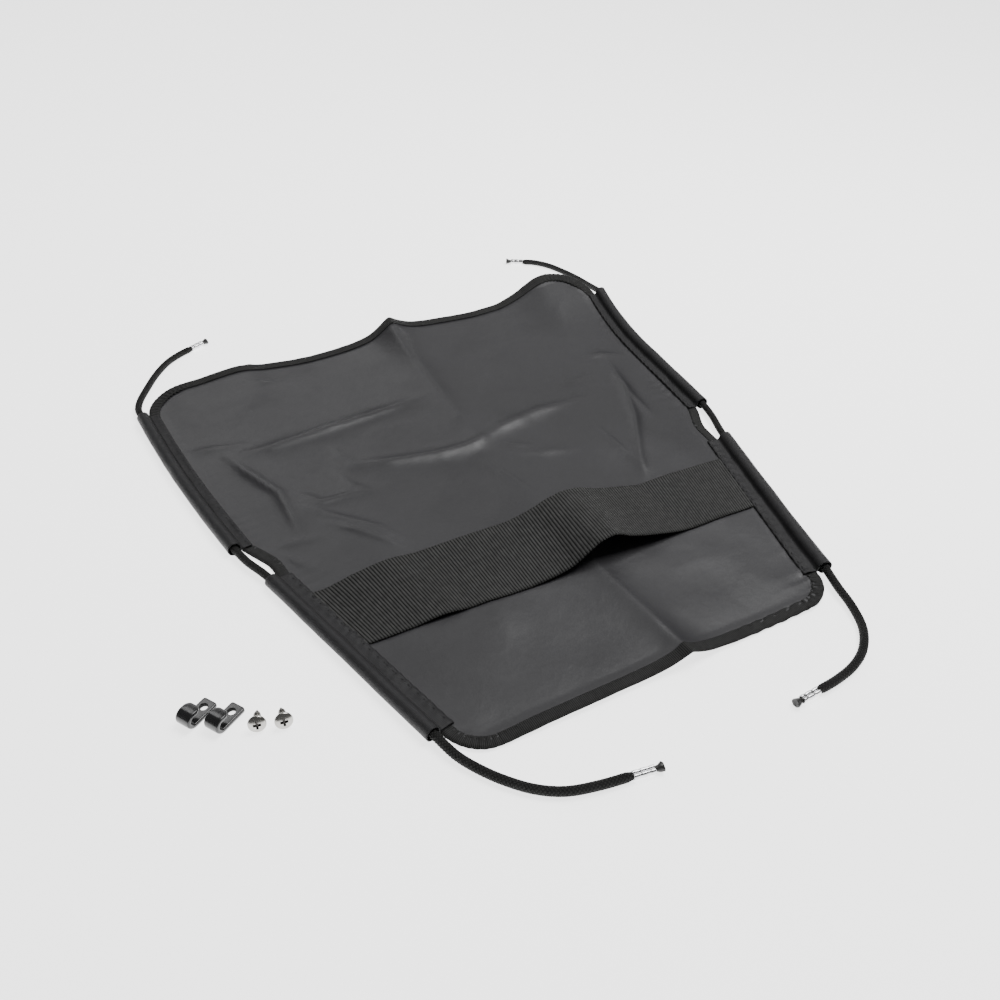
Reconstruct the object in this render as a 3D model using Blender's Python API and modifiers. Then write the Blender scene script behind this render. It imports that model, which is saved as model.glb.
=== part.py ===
"""A fabric wind screen for a motorcycle, lying flat, with its two loose hooks and two screws.

The frame: metres, +Z up. The origin is on the underside of the screen, on its centre line,
under the middle of the strap. +Y runs from the strap towards the wide top edge, +X to the right.
"""
import math

import bmesh
import bpy
from mathutils import Matrix, Vector

# Clearance kept between two pieces that touch.
GAP = 0.0003

# The panel: a coated fabric, wide at the top, narrower below its waist.
PANEL_THICKNESS = 0.001
TOP_Y = 0.365
BOTTOM_Y = -0.139
TOP_RADIUS = 0.042
BOTTOM_RADIUS = 0.030
WAIST_X = 0.1985
WAIST_RADIUS = 0.030
ARC_STEP = math.radians(9)

# The line between the upper and lower sleeves, where the screen folds.
FOLD_Y = 0.080
FOLD_AXIS_Z = 0.0036

# The binding tape, folded round the panel's edge.
TAPE_THICKNESS = 0.0005
TAPE_WIDTH = 0.0085
RIM_LIFT = TAPE_THICKNESS + GAP
RIM_SLOPE = 0.0004
TAPE_HEIGHT = RIM_LIFT + PANEL_THICKNESS + GAP + TAPE_THICKNESS

# The cord sleeves: a fabric tube with a sewing flange. Each runs between two (x, y) points
# on the right-hand side; the left-hand side mirrors them.
SLEEVE_RADIUS = 0.0054
SLEEVE_WALL = 0.0009
FLANGE_THICKNESS = 0.0008
FLANGE_Z = TAPE_HEIGHT + GAP
UPPER_SLEEVE = ((0.2175, 0.106), (0.2437, 0.321))
LOWER_SLEEVE = ((0.1562, -0.116), (0.2025, 0.058))
LOWER_SLEEVE_TRIM = {"left": 0.003, "right": -0.005}
UPPER_FLANGE_REACH = 0.0135
LOWER_FLANGE_REACH = 0.0160
EDGE_INSET = 0.0060

# The webbing strap, sewn down at both ends and bowed up in between.
STRAP_WIDTH = 0.0635
STRAP_THICKNESS = 0.0013
STRAP_BOWS = ((-0.096, 0.060, 0.0085), (0.030, 0.070, 0.0235))
STRAP_TUCK = 0.0148
STRAP_LEFT_RISE = 0.0055

# The elastic cords.
CORD_RADIUS = 0.003175
CORD_SPACING = 0.0135
CORD_Z = SLEEVE_RADIUS
FLOOR_CORD_Z = CORD_RADIUS + 0.0001
FOLD_CLEARANCE = 0.0048
FOLD_CORD_X = 0.2095

# Each loose cord end: the route from the sleeve's mouth to the ferrule, as (x, y) points.
LOOSE_ROUTES = {
    "left_top": ((-0.2452, 0.3375), (-0.2405, 0.356), (-0.2295, 0.378), (-0.2175, 0.399),
                 (-0.2035, 0.417), (-0.1895, 0.428), (-0.1760, 0.435)),
    "right_top": ((0.2475, 0.343), (0.2540, 0.366), (0.2575, 0.390), (0.2560, 0.414),
                  (0.2490, 0.438), (0.2385, 0.455), (0.2265, 0.464)),
    "left_bottom": ((-0.1504, -0.1345), (-0.1425, -0.149), (-0.1325, -0.163), (-0.1200, -0.176),
                    (-0.1050, -0.1855), (-0.0860, -0.191), (-0.0660, -0.1945)),
    "right_bottom": ((0.1515, -0.134), (0.1475, -0.152), (0.1390, -0.171), (0.1250, -0.185),
                     (0.1080, -0.193), (0.0900, -0.1965), (0.0740, -0.1975)),
}

# The crimped ferrule and the melted cord end inside and beyond it.
FERRULE_LENGTH = 0.014
FERRULE_RADIUS = 0.0029
FERRULE_WALL = 0.0006
FERRULE_SEAM = math.radians(20)
PINCHED_RADIUS = 0.0018
FLARE_RADIUS = 0.0032
FLARE_LENGTH = 0.0055

# The hooks: a thick strip bent into a J that lies on its long leg.
HOOK_HEIGHT = 0.012
HOOK_STRIP = 0.003
HOOK_WIDTH = 0.0112
HOOK_LONG_LEG = 0.018
HOOK_SHORT_LEG = 0.0063
HOOK_HOLE_X = 0.0116
HOOK_HOLE_RADIUS = 0.00255
HOOK_EDGE = 0.0005
HOOK_HEADING = math.radians(32.3)
HOOK_PLACES = ((-0.2832, -0.0343), (-0.2687, -0.0460))

# The screws: truss heads, thread-forming shanks, lying on the head's rim and the point.
HEAD_RADIUS = 0.0057
HEAD_HEIGHT = 0.0028
SHANK_RADIUS = 0.0024
THREAD_DEPTH = 0.0006
THREAD_PITCH = 0.0016
SHANK_LENGTH = 0.0159
POINT_LENGTH = 0.0042
RECESS_WIDTH = 0.0011
RECESS_SPAN = 0.0046
RECESS_DEPTH = 0.0017
SCREW_TILT = math.radians(19.2)
SCREW_PLACES = ((-0.2477, -0.0583, math.radians(257)), (-0.2326, -0.0636, math.radians(263)))

SIDES = {"left": -1, "right": 1}


def clear_scene():
    for obj in list(bpy.data.objects):
        bpy.data.objects.remove(obj, do_unlink=True)


def new_collection(name):
    collection = bpy.data.collections.new(name)
    bpy.context.scene.collection.children.link(collection)
    return collection


def make_material(name, colour, roughness, metallic=0.0):
    material = bpy.data.materials.new(name)
    material.use_nodes = True
    shader = material.node_tree.nodes["Principled BSDF"]
    shader.inputs["Base Color"].default_value = (*colour, 1.0)
    shader.inputs["Roughness"].default_value = roughness
    shader.inputs["Metallic"].default_value = metallic
    return material


def place(name, data, material, parent=None, matrix=Matrix()):
    """Link an object made from data at a matrix, under an empty where it has one."""
    obj = bpy.data.objects.new(name, data)
    PARTS.objects.link(obj)
    data.materials.append(material)
    if parent:
        obj.parent = parent
        obj.matrix_parent_inverse = Matrix.Translation(-parent.location)
    obj.matrix_basis = matrix
    return obj


def make_cutter(name, mesh, matrix=Matrix()):
    cutter = bpy.data.objects.new(name, mesh)
    cutter.matrix_basis = matrix
    CUTTERS.objects.link(cutter)
    cutter.hide_render = True
    cutter.display_type = "WIRE"
    return cutter


def cut(obj, cutter):
    modifier = obj.modifiers.new(cutter.name, "BOOLEAN")
    modifier.operation = "DIFFERENCE"
    modifier.solver = "EXACT"
    modifier.object = cutter


def smooth(mesh, angle=math.radians(35)):
    mesh.shade_smooth()
    mesh.set_sharp_from_angle(angle=angle)


# ---- outlines ----

def fillet(before, corner, after, radius):
    """Points along the arc that rounds a corner of an outline."""
    before, corner, after = Vector(before), Vector(corner), Vector(after)
    towards_before = (before - corner).normalized()
    towards_after = (after - corner).normalized()
    half_angle = towards_before.angle(towards_after) / 2
    centre = corner + (towards_before + towards_after).normalized() * radius / math.sin(half_angle)
    start = corner + towards_before * radius / math.tan(half_angle) - centre
    end = corner + towards_after * radius / math.tan(half_angle) - centre
    turn = start.angle_signed(end)
    steps = max(2, math.ceil(abs(turn) / ARC_STEP))
    return [centre + Matrix.Rotation(-turn * i / steps, 2) @ start for i in range(steps + 1)]


def sleeve_frame(sleeve):
    """The start, the unit direction and the inward unit normal of a right-hand sleeve."""
    start, end = Vector(sleeve[0]), Vector(sleeve[1])
    direction = (end - start).normalized()
    return start, direction, Vector((-direction.y, direction.x))


def lower_sleeve(side_name):
    """The lower sleeve of a side, trimmed a little at its upper end."""
    start, direction, _ = sleeve_frame(LOWER_SLEEVE)
    end = Vector(LOWER_SLEEVE[1]) + direction * LOWER_SLEEVE_TRIM[side_name]
    return tuple(start), tuple(end)


def edge_point(sleeve, y):
    """Where the panel's right-hand edge, under a sleeve's flange, passes the height y."""
    start, direction, inward = sleeve_frame(sleeve)
    point = start + inward * EDGE_INSET
    return point + direction * (y - point.y) / direction.y


def panel_outline():
    """The panel's outline, anticlockwise from the bottom left corner."""
    corners = [
        (edge_point(LOWER_SLEEVE, BOTTOM_Y), BOTTOM_RADIUS),
        (edge_point(LOWER_SLEEVE, LOWER_SLEEVE[1][1]), None),
        (Vector((WAIST_X, FOLD_Y)), WAIST_RADIUS),
        (edge_point(UPPER_SLEEVE, UPPER_SLEEVE[0][1]), None),
        (edge_point(UPPER_SLEEVE, TOP_Y), TOP_RADIUS),
    ]
    mirrored = [(Vector((-point.x, point.y)), radius) for point, radius in reversed(corners)]
    corners += mirrored
    outline = []
    for i, (point, radius) in enumerate(corners):
        if radius is None:
            outline.append(point)
        else:
            outline += fillet(corners[i - 1][0], point, corners[(i + 1) % len(corners)][0], radius)
    return outline


def grown(outline, distance):
    """The outline moved outwards by a distance, or inwards where it is negative."""
    moved = []
    for i, point in enumerate(outline):
        along_in = (point - outline[i - 1]).normalized()
        along_out = (outline[(i + 1) % len(outline)] - point).normalized()
        out_in = Vector((along_in.y, -along_in.x))
        out_out = Vector((along_out.y, -along_out.x))
        middle = (out_in + out_out).normalized()
        moved.append(point + middle * distance / middle.dot(out_in))
    return moved


def slab_mesh(name, outline, low, high):
    """A flat solid with the given outline, between two heights."""
    form = bmesh.new()
    face = form.faces.new([form.verts.new((p.x, p.y, low)) for p in outline])
    top = bmesh.ops.extrude_face_region(form, geom=[face])["geom"]
    rise = [v for v in top if isinstance(v, bmesh.types.BMVert)]
    bmesh.ops.translate(form, vec=(0, 0, high - low), verts=rise)
    bmesh.ops.recalc_face_normals(form, faces=form.faces)
    mesh = bpy.data.meshes.new(name)
    form.to_mesh(mesh)
    form.free()
    return mesh


def box_mesh(name, low, high):
    low, high = Vector(low), Vector(high)
    form = bmesh.new()
    bmesh.ops.create_cube(form, size=1.0)
    bmesh.ops.scale(form, vec=high - low, verts=form.verts)
    bmesh.ops.translate(form, vec=(low + high) / 2, verts=form.verts)
    mesh = bpy.data.meshes.new(name)
    form.to_mesh(mesh)
    form.free()
    return mesh


# ---- the screen ----

def make_panel(name, outline, upper, material, parent=None):
    """One half of the fabric sheet, lifted at its rim by the tape folded under it."""
    form = bmesh.new()
    sheet = form.faces.new([form.verts.new((p.x, p.y, 0)) for p in outline])
    form.normal_update()
    for width in (TAPE_WIDTH - TAPE_THICKNESS, RIM_SLOPE):
        bmesh.ops.inset_individual(form, faces=[sheet], thickness=width, use_even_offset=True)
    rim = set(form.verts) - set(sheet.verts)
    bmesh.ops.translate(form, vec=(0, 0, RIM_LIFT), verts=list(rim))
    fold = FOLD_Y + (GAP / 2 if upper else -GAP / 2)
    everything = form.verts[:] + form.edges[:] + form.faces[:]
    bmesh.ops.bisect_plane(form, geom=everything, plane_co=(0, fold, 0), plane_no=(0, 1, 0),
                           clear_inner=upper, clear_outer=not upper)
    mesh = bpy.data.meshes.new(name)
    form.to_mesh(mesh)
    form.free()
    panel = place(name, mesh, material, parent)
    thicken = panel.modifiers.new("thickness", "SOLIDIFY")
    thicken.thickness = PANEL_THICKNESS
    thicken.offset = 1.0
    return panel


def make_binding(name, outline, upper, material, parent=None):
    """The tape round one half of the panel: a band with a slot that holds the panel's rim."""
    band = slab_mesh(name, grown(outline, GAP + TAPE_THICKNESS), 0, TAPE_HEIGHT)
    binding = place(name, band, material, parent)
    slot = slab_mesh("slot", grown(outline, GAP), TAPE_THICKNESS, TAPE_HEIGHT - TAPE_THICKNESS)
    window = slab_mesh("window", grown(outline, GAP + TAPE_THICKNESS - TAPE_WIDTH),
                       -TAPE_HEIGHT, 2 * TAPE_HEIGHT)
    reach = 2 * TOP_Y
    if upper:
        other_half = box_mesh("half", (-reach, -reach, -reach), (reach, FOLD_Y + GAP / 2, reach))
    else:
        other_half = box_mesh("half", (-reach, FOLD_Y - GAP / 2, -reach), (reach, reach, reach))
    for label, mesh in (("slot", slot), ("window", window), ("half", other_half)):
        cut(binding, make_cutter(f"{name}_{label}", mesh))
    return binding


def sleeve_profile(reach):
    """Across a sleeve: the tube's outer wall, running into the flange on the inner side."""
    def wall_point(angle):
        return (SLEEVE_RADIUS * math.cos(angle), SLEEVE_RADIUS * (1 + math.sin(angle)))

    top_angle = math.asin((FLANGE_Z + FLANGE_THICKNESS) / SLEEVE_RADIUS - 1)
    bottom_angle = math.asin(FLANGE_Z / SLEEVE_RADIUS - 1) + 2 * math.pi
    steps = 24
    outer = [wall_point(top_angle + (bottom_angle - top_angle) * i / steps)
             for i in range(steps + 1)]
    outer += [(reach, FLANGE_Z), (reach, FLANGE_Z + FLANGE_THICKNESS)]
    bore = SLEEVE_RADIUS - SLEEVE_WALL
    inner = [(bore * math.cos(2 * math.pi * i / steps),
              SLEEVE_RADIUS + bore * math.sin(2 * math.pi * i / steps)) for i in range(steps)]
    return outer, inner


def flat_curve(name, loops, thickness):
    """A 2D curve with the given closed loops, extruded to a thickness along its local Z."""
    curve = bpy.data.curves.new(name, "CURVE")
    curve.dimensions = "2D"
    curve.fill_mode = "BOTH"
    curve.extrude = thickness / 2
    for loop in loops:
        spline = curve.splines.new("POLY")
        spline.points.add(len(loop) - 1)
        for point, (x, y) in zip(spline.points, loop):
            point.co = (x, y, 0, 1)
        spline.use_cyclic_u = True
    return curve


def make_sleeve(name, sleeve, side, reach, material, parent=None):
    start, direction, inward = sleeve_frame(sleeve)
    length = (Vector(sleeve[1]) - start).length
    middle = (start + Vector(sleeve[1])) / 2
    across = Vector((side * inward.x, inward.y, 0))
    up = Vector((0, 0, 1))
    lie = Matrix((across, up, across.cross(up))).transposed().to_4x4()
    lie.translation = (side * middle.x, middle.y, 0)
    return place(name, flat_curve(name, sleeve_profile(reach), length), material, parent, lie)


def strap_height(x):
    """How far the strap's underside stands off the panel at x: smooth bows."""
    height = 0.0
    for centre, half_width, rise in STRAP_BOWS:
        away = abs(x - centre) / half_width
        if away < 1:
            height += rise * math.cos(away * math.pi / 2) ** 2
    return height


def make_strap(name, material):
    """The strap is cut on a slant at both ends to follow the sleeves it is sewn under."""
    start, direction, inward = sleeve_frame(LOWER_SLEEVE)
    end = start + inward * STRAP_TUCK
    slant = direction.x / direction.y
    form = bmesh.new()
    bmesh.ops.create_grid(form, x_segments=64, y_segments=1, size=1.0)
    for vert in form.verts:
        left = max(0.0, -vert.co.x)
        y = vert.co.y * STRAP_WIDTH / 2 + left * STRAP_LEFT_RISE
        x = vert.co.x * (end.x + slant * (y - end.y))
        vert.co = (x, y, PANEL_THICKNESS + GAP + strap_height(x))
    mesh = bpy.data.meshes.new(name)
    form.to_mesh(mesh)
    form.free()
    strap = place(name, mesh, material)
    thicken = strap.modifiers.new("thickness", "SOLIDIFY")
    thicken.thickness = STRAP_THICKNESS
    thicken.offset = 1.0
    return strap


# ---- the cords ----

def smooth_path(route, spacing):
    """Points a given distance apart along a Catmull-Rom curve through the route."""
    route = [Vector(p) for p in route]
    ends = [2 * route[0] - route[1]] + route + [2 * route[-1] - route[-2]]
    fine = []
    steps = 24
    for i in range(len(route) - 1):
        p0, p1, p2, p3 = ends[i:i + 4]
        for k in range(steps):
            t = k / steps
            fine.append(0.5 * (2 * p1 + (p2 - p0) * t + (2 * p0 - 5 * p1 + 4 * p2 - p3) * t ** 2
                               + (3 * p1 - p0 - 3 * p2 + p3) * t ** 3))
    fine.append(route[-1])
    total = sum((b - a).length for a, b in zip(fine, fine[1:]))
    count = max(2, round(total / spacing))
    points, walked, wanted = [fine[0]], 0.0, 1
    for a, b in zip(fine, fine[1:]):
        step = (b - a).length
        while wanted < count and walked + step >= total * wanted / count:
            points.append(a.lerp(b, (total * wanted / count - walked) / step))
            wanted += 1
        walked += step
    return points + [fine[-1]]


def make_cord(name, route, material, parent=None):
    curve = bpy.data.curves.new(name, "CURVE")
    curve.dimensions = "3D"
    curve.bevel_depth = CORD_RADIUS
    curve.bevel_resolution = 2
    curve.use_fill_caps = True
    path = smooth_path(route, CORD_SPACING)
    spline = curve.splines.new("POLY")
    spline.points.add(len(path) - 1)
    for point, co in zip(spline.points, path):
        point.co = (*co, 1)
    return place(name, curve, material, parent)


def upright(point, z):
    return Vector((point[0], point[1], z))


def held_routes(side, lower_run):
    """The cord inside the two sleeves of a side, stopping short of the fold on both sides."""
    slope = side * FOLD_CLEARANCE / 5
    upper = [(side * FOLD_CORD_X + slope, FOLD_Y + FOLD_CLEARANCE), *UPPER_SLEEVE]
    lower = [*lower_run, (side * FOLD_CORD_X - slope, FOLD_Y - FOLD_CLEARANCE)]
    upper = [upright(upper[0], FOLD_AXIS_Z)] + [upright((side * x, y), CORD_Z) for x, y in upper[1:]]
    lower = [upright((side * x, y), CORD_Z) for x, y in lower[:2]] + [upright(lower[2], FOLD_AXIS_Z)]
    for route, inner, outer in ((upper, 1, 2), (lower, 1, 0)):
        run = (route[outer] - route[inner]).normalized()
        route[outer] = route[outer] - run * GAP / 2
    return upper, lower


def loose_route(where, sleeve, outer, side):
    """A loose end: out of the sleeve's mouth, down on to the ground, and round to its ferrule."""
    start, direction, _ = sleeve_frame(sleeve)
    mouth = Vector(sleeve[outer])
    out = direction if outer else -direction
    mouth = mouth + out * GAP / 2
    route = [upright((side * mouth.x, mouth.y), CORD_Z)]
    first, *rest = LOOSE_ROUTES[where]
    route.append(upright(first, FLOOR_CORD_Z + 0.0006))
    return route + [upright(point, FLOOR_CORD_Z) for point in rest]


def aimed(direction, place_at):
    """A matrix that turns local +Z to a direction and local +Y up, at a place."""
    forward = direction.normalized()
    side = Vector((0, 0, 1)).cross(forward).normalized()
    turn = Matrix((side, forward.cross(side), forward)).transposed().to_4x4()
    turn.translation = place_at
    return turn


def ferrule_profile():
    """A band bent round the cord end, open along a narrow seam at the top."""
    steps = 20
    first = math.pi / 2 + FERRULE_SEAM / 2
    sweep = 2 * math.pi - FERRULE_SEAM
    angles = [first + sweep * i / steps for i in range(steps + 1)]
    outer = [(FERRULE_RADIUS * math.cos(a), FERRULE_RADIUS * math.sin(a)) for a in angles]
    bore = FERRULE_RADIUS - FERRULE_WALL
    inner = [(bore * math.cos(a), bore * math.sin(a)) for a in reversed(angles)]
    return outer + inner


def make_ferrule(name, where, direction, material, parent=None):
    curve = flat_curve(name, [ferrule_profile()], FERRULE_LENGTH)
    lie = aimed(direction, where + direction * (GAP + FERRULE_LENGTH / 2))
    return place(name, curve, material, parent, lie)


def turned_mesh(name, profile, steps):
    """A solid of revolution about Z from (radius, z) pairs that run down its outer side."""
    form = bmesh.new()
    verts = [form.verts.new((radius, 0, z)) for radius, z in profile]
    edges = [form.edges.new(pair) for pair in zip(verts, verts[1:])]
    bmesh.ops.spin(form, geom=verts + edges, cent=(0, 0, 0), axis=(0, 0, 1),
                   angle=2 * math.pi, steps=steps, use_merge=True)
    bmesh.ops.remove_doubles(form, verts=form.verts, dist=1e-6)
    bmesh.ops.recalc_face_normals(form, faces=form.faces)
    mesh = bpy.data.meshes.new(name)
    form.to_mesh(mesh)
    form.free()
    return mesh


def make_cord_tip(name, where, direction, material, parent=None):
    """The pinched cord inside the ferrule, and its melted end flared beyond it."""
    end = 2 * GAP + FERRULE_LENGTH
    profile = ((0, end + FLARE_LENGTH - 0.0006), (0.7 * FLARE_RADIUS, end + FLARE_LENGTH),
               (FLARE_RADIUS, end + 0.8 * FLARE_LENGTH), (0.9 * FLARE_RADIUS, end + 0.5 * FLARE_LENGTH),
               (PINCHED_RADIUS, end), (PINCHED_RADIUS, GAP), (0, GAP))
    mesh = turned_mesh(name, profile, 16)
    smooth(mesh)
    return place(name, mesh, material, parent, aimed(direction, where))


def make_side_cords(side_name, side, fold, materials):
    upper, lower = held_routes(side, lower_sleeve(side_name))
    make_cord(f"cord_{side_name}_upper", upper, materials["cord"], fold)
    make_cord(f"cord_{side_name}_lower", lower, materials["cord"])
    for end, sleeve, outer, parent in (("top", UPPER_SLEEVE, 1, fold), ("bottom", LOWER_SLEEVE, 0, None)):
        route = loose_route(f"{side_name}_{end}", sleeve, outer, side)
        make_cord(f"cord_{side_name}_{end}_end", route, materials["cord"], parent)
        direction = (route[-1] - route[-2]).normalized()
        label = f"{side_name}_{end}"
        make_ferrule(f"ferrule_{label}", route[-1], direction, materials["ferrule"], parent)
        make_cord_tip(f"cord_tip_{label}", route[-1], direction, materials["cord"], parent)


# ---- the fixings ----

def hook_profile():
    """Along a hook: the long leg at the bottom, the bend at -X, the short leg on top."""
    radius = HOOK_HEIGHT / 2
    bore = radius - HOOK_STRIP
    steps = 14
    angles = [math.pi / 2 + math.pi * i / steps for i in range(steps + 1)]
    bend_out = [(radius * math.cos(a), radius + radius * math.sin(a)) for a in angles]
    bend_in = [(bore * math.cos(a), radius + bore * math.sin(a)) for a in reversed(angles)]
    leg_end = [(HOOK_LONG_LEG, 0), (HOOK_LONG_LEG, HOOK_STRIP)]
    tip = [(HOOK_SHORT_LEG, HOOK_HEIGHT - HOOK_STRIP), (HOOK_SHORT_LEG, HOOK_HEIGHT)]
    return bend_out + leg_end + bend_in + tip


def make_hook(name, place_at, material):
    curve = flat_curve(name + "_outline", [hook_profile()], HOOK_WIDTH)
    outline = bpy.data.objects.new(name + "_outline", curve)
    PARTS.objects.link(outline)
    bpy.context.view_layer.update()
    mesh = bpy.data.meshes.new_from_object(outline.evaluated_get(bpy.context.evaluated_depsgraph_get()))
    bpy.data.objects.remove(outline, do_unlink=True)
    mesh.name = name
    form = bmesh.new()
    form.from_mesh(mesh)
    bmesh.ops.remove_doubles(form, verts=form.verts, dist=1e-6)
    bmesh.ops.rotate(form, cent=(0, 0, 0), matrix=Matrix.Rotation(math.pi / 2, 3, "X"), verts=form.verts)
    bmesh.ops.dissolve_limit(form, angle_limit=math.radians(1), verts=form.verts, edges=form.edges)
    bmesh.ops.recalc_face_normals(form, faces=form.faces)
    form.to_mesh(mesh)
    form.free()
    lie = Matrix.Translation((*place_at, 0)) @ Matrix.Rotation(HOOK_HEADING, 4, "Z")
    hook = place(name, mesh, material, None, lie)
    edges = hook.modifiers.new("edges", "BEVEL")
    edges.width = HOOK_EDGE
    edges.segments = 2
    edges.limit_method = "ANGLE"
    edges.angle_limit = math.radians(50)
    hole = turned_mesh(name + "_hole", ((0, 2 * HOOK_STRIP), (HOOK_HOLE_RADIUS, 2 * HOOK_STRIP),
                                        (HOOK_HOLE_RADIUS, -HOOK_STRIP), (0, -HOOK_STRIP)), 20)
    cut(hook, make_cutter(name + "_hole", hole, lie @ Matrix.Translation((HOOK_HOLE_X, 0, 0))))
    return hook


def screw_profile():
    """Head dome, flat under-face, threaded shank and point, from top to bottom."""
    dome = [(HEAD_RADIUS * math.sin(a), HEAD_HEIGHT * (0.25 + 0.75 * math.cos(a)))
            for a in (math.radians(15 * i) for i in range(7))]
    profile = dome + [(HEAD_RADIUS, 0), (SHANK_RADIUS, 0)]
    z = -0.0008
    while z - THREAD_PITCH > -(SHANK_LENGTH - POINT_LENGTH):
        root = SHANK_RADIUS - THREAD_DEPTH
        profile += [(root, z), (root, z - 0.4 * THREAD_PITCH), (SHANK_RADIUS, z - 0.7 * THREAD_PITCH)]
        z -= THREAD_PITCH
    return profile + [(SHANK_RADIUS - THREAD_DEPTH, -(SHANK_LENGTH - POINT_LENGTH)), (0, -SHANK_LENGTH)]


def make_screw(name, x, y, heading, material):
    mesh = turned_mesh(name, screw_profile(), 24)
    smooth(mesh)
    facing = Vector((math.cos(heading) * math.cos(SCREW_TILT), math.sin(heading) * math.cos(SCREW_TILT),
                     math.sin(SCREW_TILT)))
    lie = aimed(facing, (x, y, HEAD_RADIUS * math.cos(SCREW_TILT) + GAP))
    screw = place(name, mesh, material, None, lie)
    top = HEAD_HEIGHT + RECESS_DEPTH
    recess = (("recess_a", RECESS_SPAN, RECESS_WIDTH), ("recess_b", RECESS_WIDTH, RECESS_SPAN))
    for label, span_x, span_y in recess:
        low = (-span_x / 2, -span_y / 2, HEAD_HEIGHT - RECESS_DEPTH)
        box = box_mesh(label, low, (span_x / 2, span_y / 2, top))
        cut(screw, make_cutter(f"{name}_{label}", box, lie))
    return screw


# ---- assembly ----

clear_scene()
PARTS = new_collection("wind_screen")
CUTTERS = new_collection("cutters")

MATERIALS = {
    "panel": make_material("coated_fabric", (0.066, 0.064, 0.070), 0.48),
    "tape": make_material("grosgrain_tape", (0.012, 0.012, 0.013), 0.85),
    "sleeve": make_material("sleeve_fabric", (0.040, 0.040, 0.041), 0.70),
    "webbing": make_material("ribbed_webbing", (0.018, 0.018, 0.019), 0.90),
    "cord": make_material("braided_cord", (0.012, 0.012, 0.012), 0.80),
    "ferrule": make_material("bright_steel", (0.78, 0.78, 0.80), 0.22, 1.0),
    "hook": make_material("black_hook", (0.012, 0.012, 0.013), 0.22),
    "screw": make_material("stainless_steel", (0.66, 0.65, 0.63), 0.30, 1.0),
}


def build():
    outline = panel_outline()
    fold = bpy.data.objects.new("fold_axis", None)
    fold.location = (0, FOLD_Y, FOLD_AXIS_Z)
    PARTS.objects.link(fold)
    make_panel("panel_upper", outline, True, MATERIALS["panel"], fold)
    make_panel("panel_lower", outline, False, MATERIALS["panel"])
    make_binding("binding_upper", outline, True, MATERIALS["tape"], fold)
    make_binding("binding_lower", outline, False, MATERIALS["tape"])
    for side_name, side in SIDES.items():
        make_sleeve(f"sleeve_upper_{side_name}", UPPER_SLEEVE, side, UPPER_FLANGE_REACH,
                    MATERIALS["sleeve"], fold)
        make_sleeve(f"sleeve_lower_{side_name}", lower_sleeve(side_name), side, LOWER_FLANGE_REACH,
                    MATERIALS["sleeve"])
        make_side_cords(side_name, side, fold, MATERIALS)
    make_strap("strap", MATERIALS["webbing"])
    for number, place_at in enumerate(HOOK_PLACES, start=1):
        make_hook(f"hook_{number}", place_at, MATERIALS["hook"])
    for number, (x, y, heading) in enumerate(SCREW_PLACES, start=1):
        make_screw(f"screw_{number}", x, y, heading, MATERIALS["screw"])


build()
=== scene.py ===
"""The looks of a soft wind screen for a motorcycle, laid out flat beside its hooks and screws.

Metres, +Z up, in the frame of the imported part: the origin is under the middle of the strap,
+Y runs to the wide top edge and +X to the right. Every sewn piece is shaped on the screen's flat
pattern first, and lay() then gives it the folds and lifted edges of the cloth that it is part of.
"""

import math

import bmesh
import bpy
from mathutils import Matrix, Vector, noise


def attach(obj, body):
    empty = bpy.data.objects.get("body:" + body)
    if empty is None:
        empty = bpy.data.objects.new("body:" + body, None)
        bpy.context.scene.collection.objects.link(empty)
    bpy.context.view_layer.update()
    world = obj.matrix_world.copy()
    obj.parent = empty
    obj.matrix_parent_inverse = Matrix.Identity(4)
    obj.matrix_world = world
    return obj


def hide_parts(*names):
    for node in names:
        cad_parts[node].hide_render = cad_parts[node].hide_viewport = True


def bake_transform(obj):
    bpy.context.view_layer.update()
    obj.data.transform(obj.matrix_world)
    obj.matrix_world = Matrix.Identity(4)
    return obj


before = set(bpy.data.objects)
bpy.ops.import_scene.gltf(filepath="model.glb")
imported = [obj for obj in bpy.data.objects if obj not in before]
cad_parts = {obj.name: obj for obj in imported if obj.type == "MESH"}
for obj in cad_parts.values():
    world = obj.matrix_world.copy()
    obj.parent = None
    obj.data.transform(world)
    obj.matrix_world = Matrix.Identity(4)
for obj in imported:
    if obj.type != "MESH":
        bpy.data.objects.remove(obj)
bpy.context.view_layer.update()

# ---- the screen's pattern, as in the part ----

TOP_Y = 0.365
BOTTOM_Y = -0.139
TOP_RADIUS = 0.042
BOTTOM_RADIUS = 0.030
WAIST_X = 0.1985
WAIST_RADIUS = 0.030
FOLD_Y = 0.080
PANEL_THICKNESS = 0.001

UPPER_SLEEVE = ((0.2175, 0.106), (0.2437, 0.321))
LOWER_SLEEVE = ((0.1562, -0.116), (0.2025, 0.058))
LOWER_SLEEVE_TRIM = {"left": 0.003, "right": -0.005}
FLANGE_REACH = {"upper": 0.0135, "lower": 0.0160}
EDGE_INSET = 0.0060
FLANGE_Z = 0.00358
FLANGE_THICKNESS = 0.00058
FLANGE_DIP = 0.0009
FLANGE_DIP_START, FLANGE_DIP_END = 0.0122, 0.0165
TUBE_RADIUS = 0.00515
TUBE_Z = 0.0054
# Distances inwards from the tube's axis: where its round cloth ends, and the seam beside it.
TUBE_RIM = 0.0045
TUBE_SEAM = 0.0066
# The sleeve cloth's thickness, and its width unfolded; the same for the tape below.
SLEEVE_WALL = 0.0005
SLEEVE_WRAP = 0.05

TAPE_HEIGHT = 0.0026
TAPE_INNER = 0.0080
TAPE_OUTER = 0.0008
TAPE_RIB = 0.00125
TAPE_WRAP = 0.0192
TAPE_WALL = 0.0004
# The share of the way round the tape's section that each of its two flat faces takes.
TAPE_FLAT = 0.40
TAPE_SEAM = TAPE_INNER - 0.0012
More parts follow.
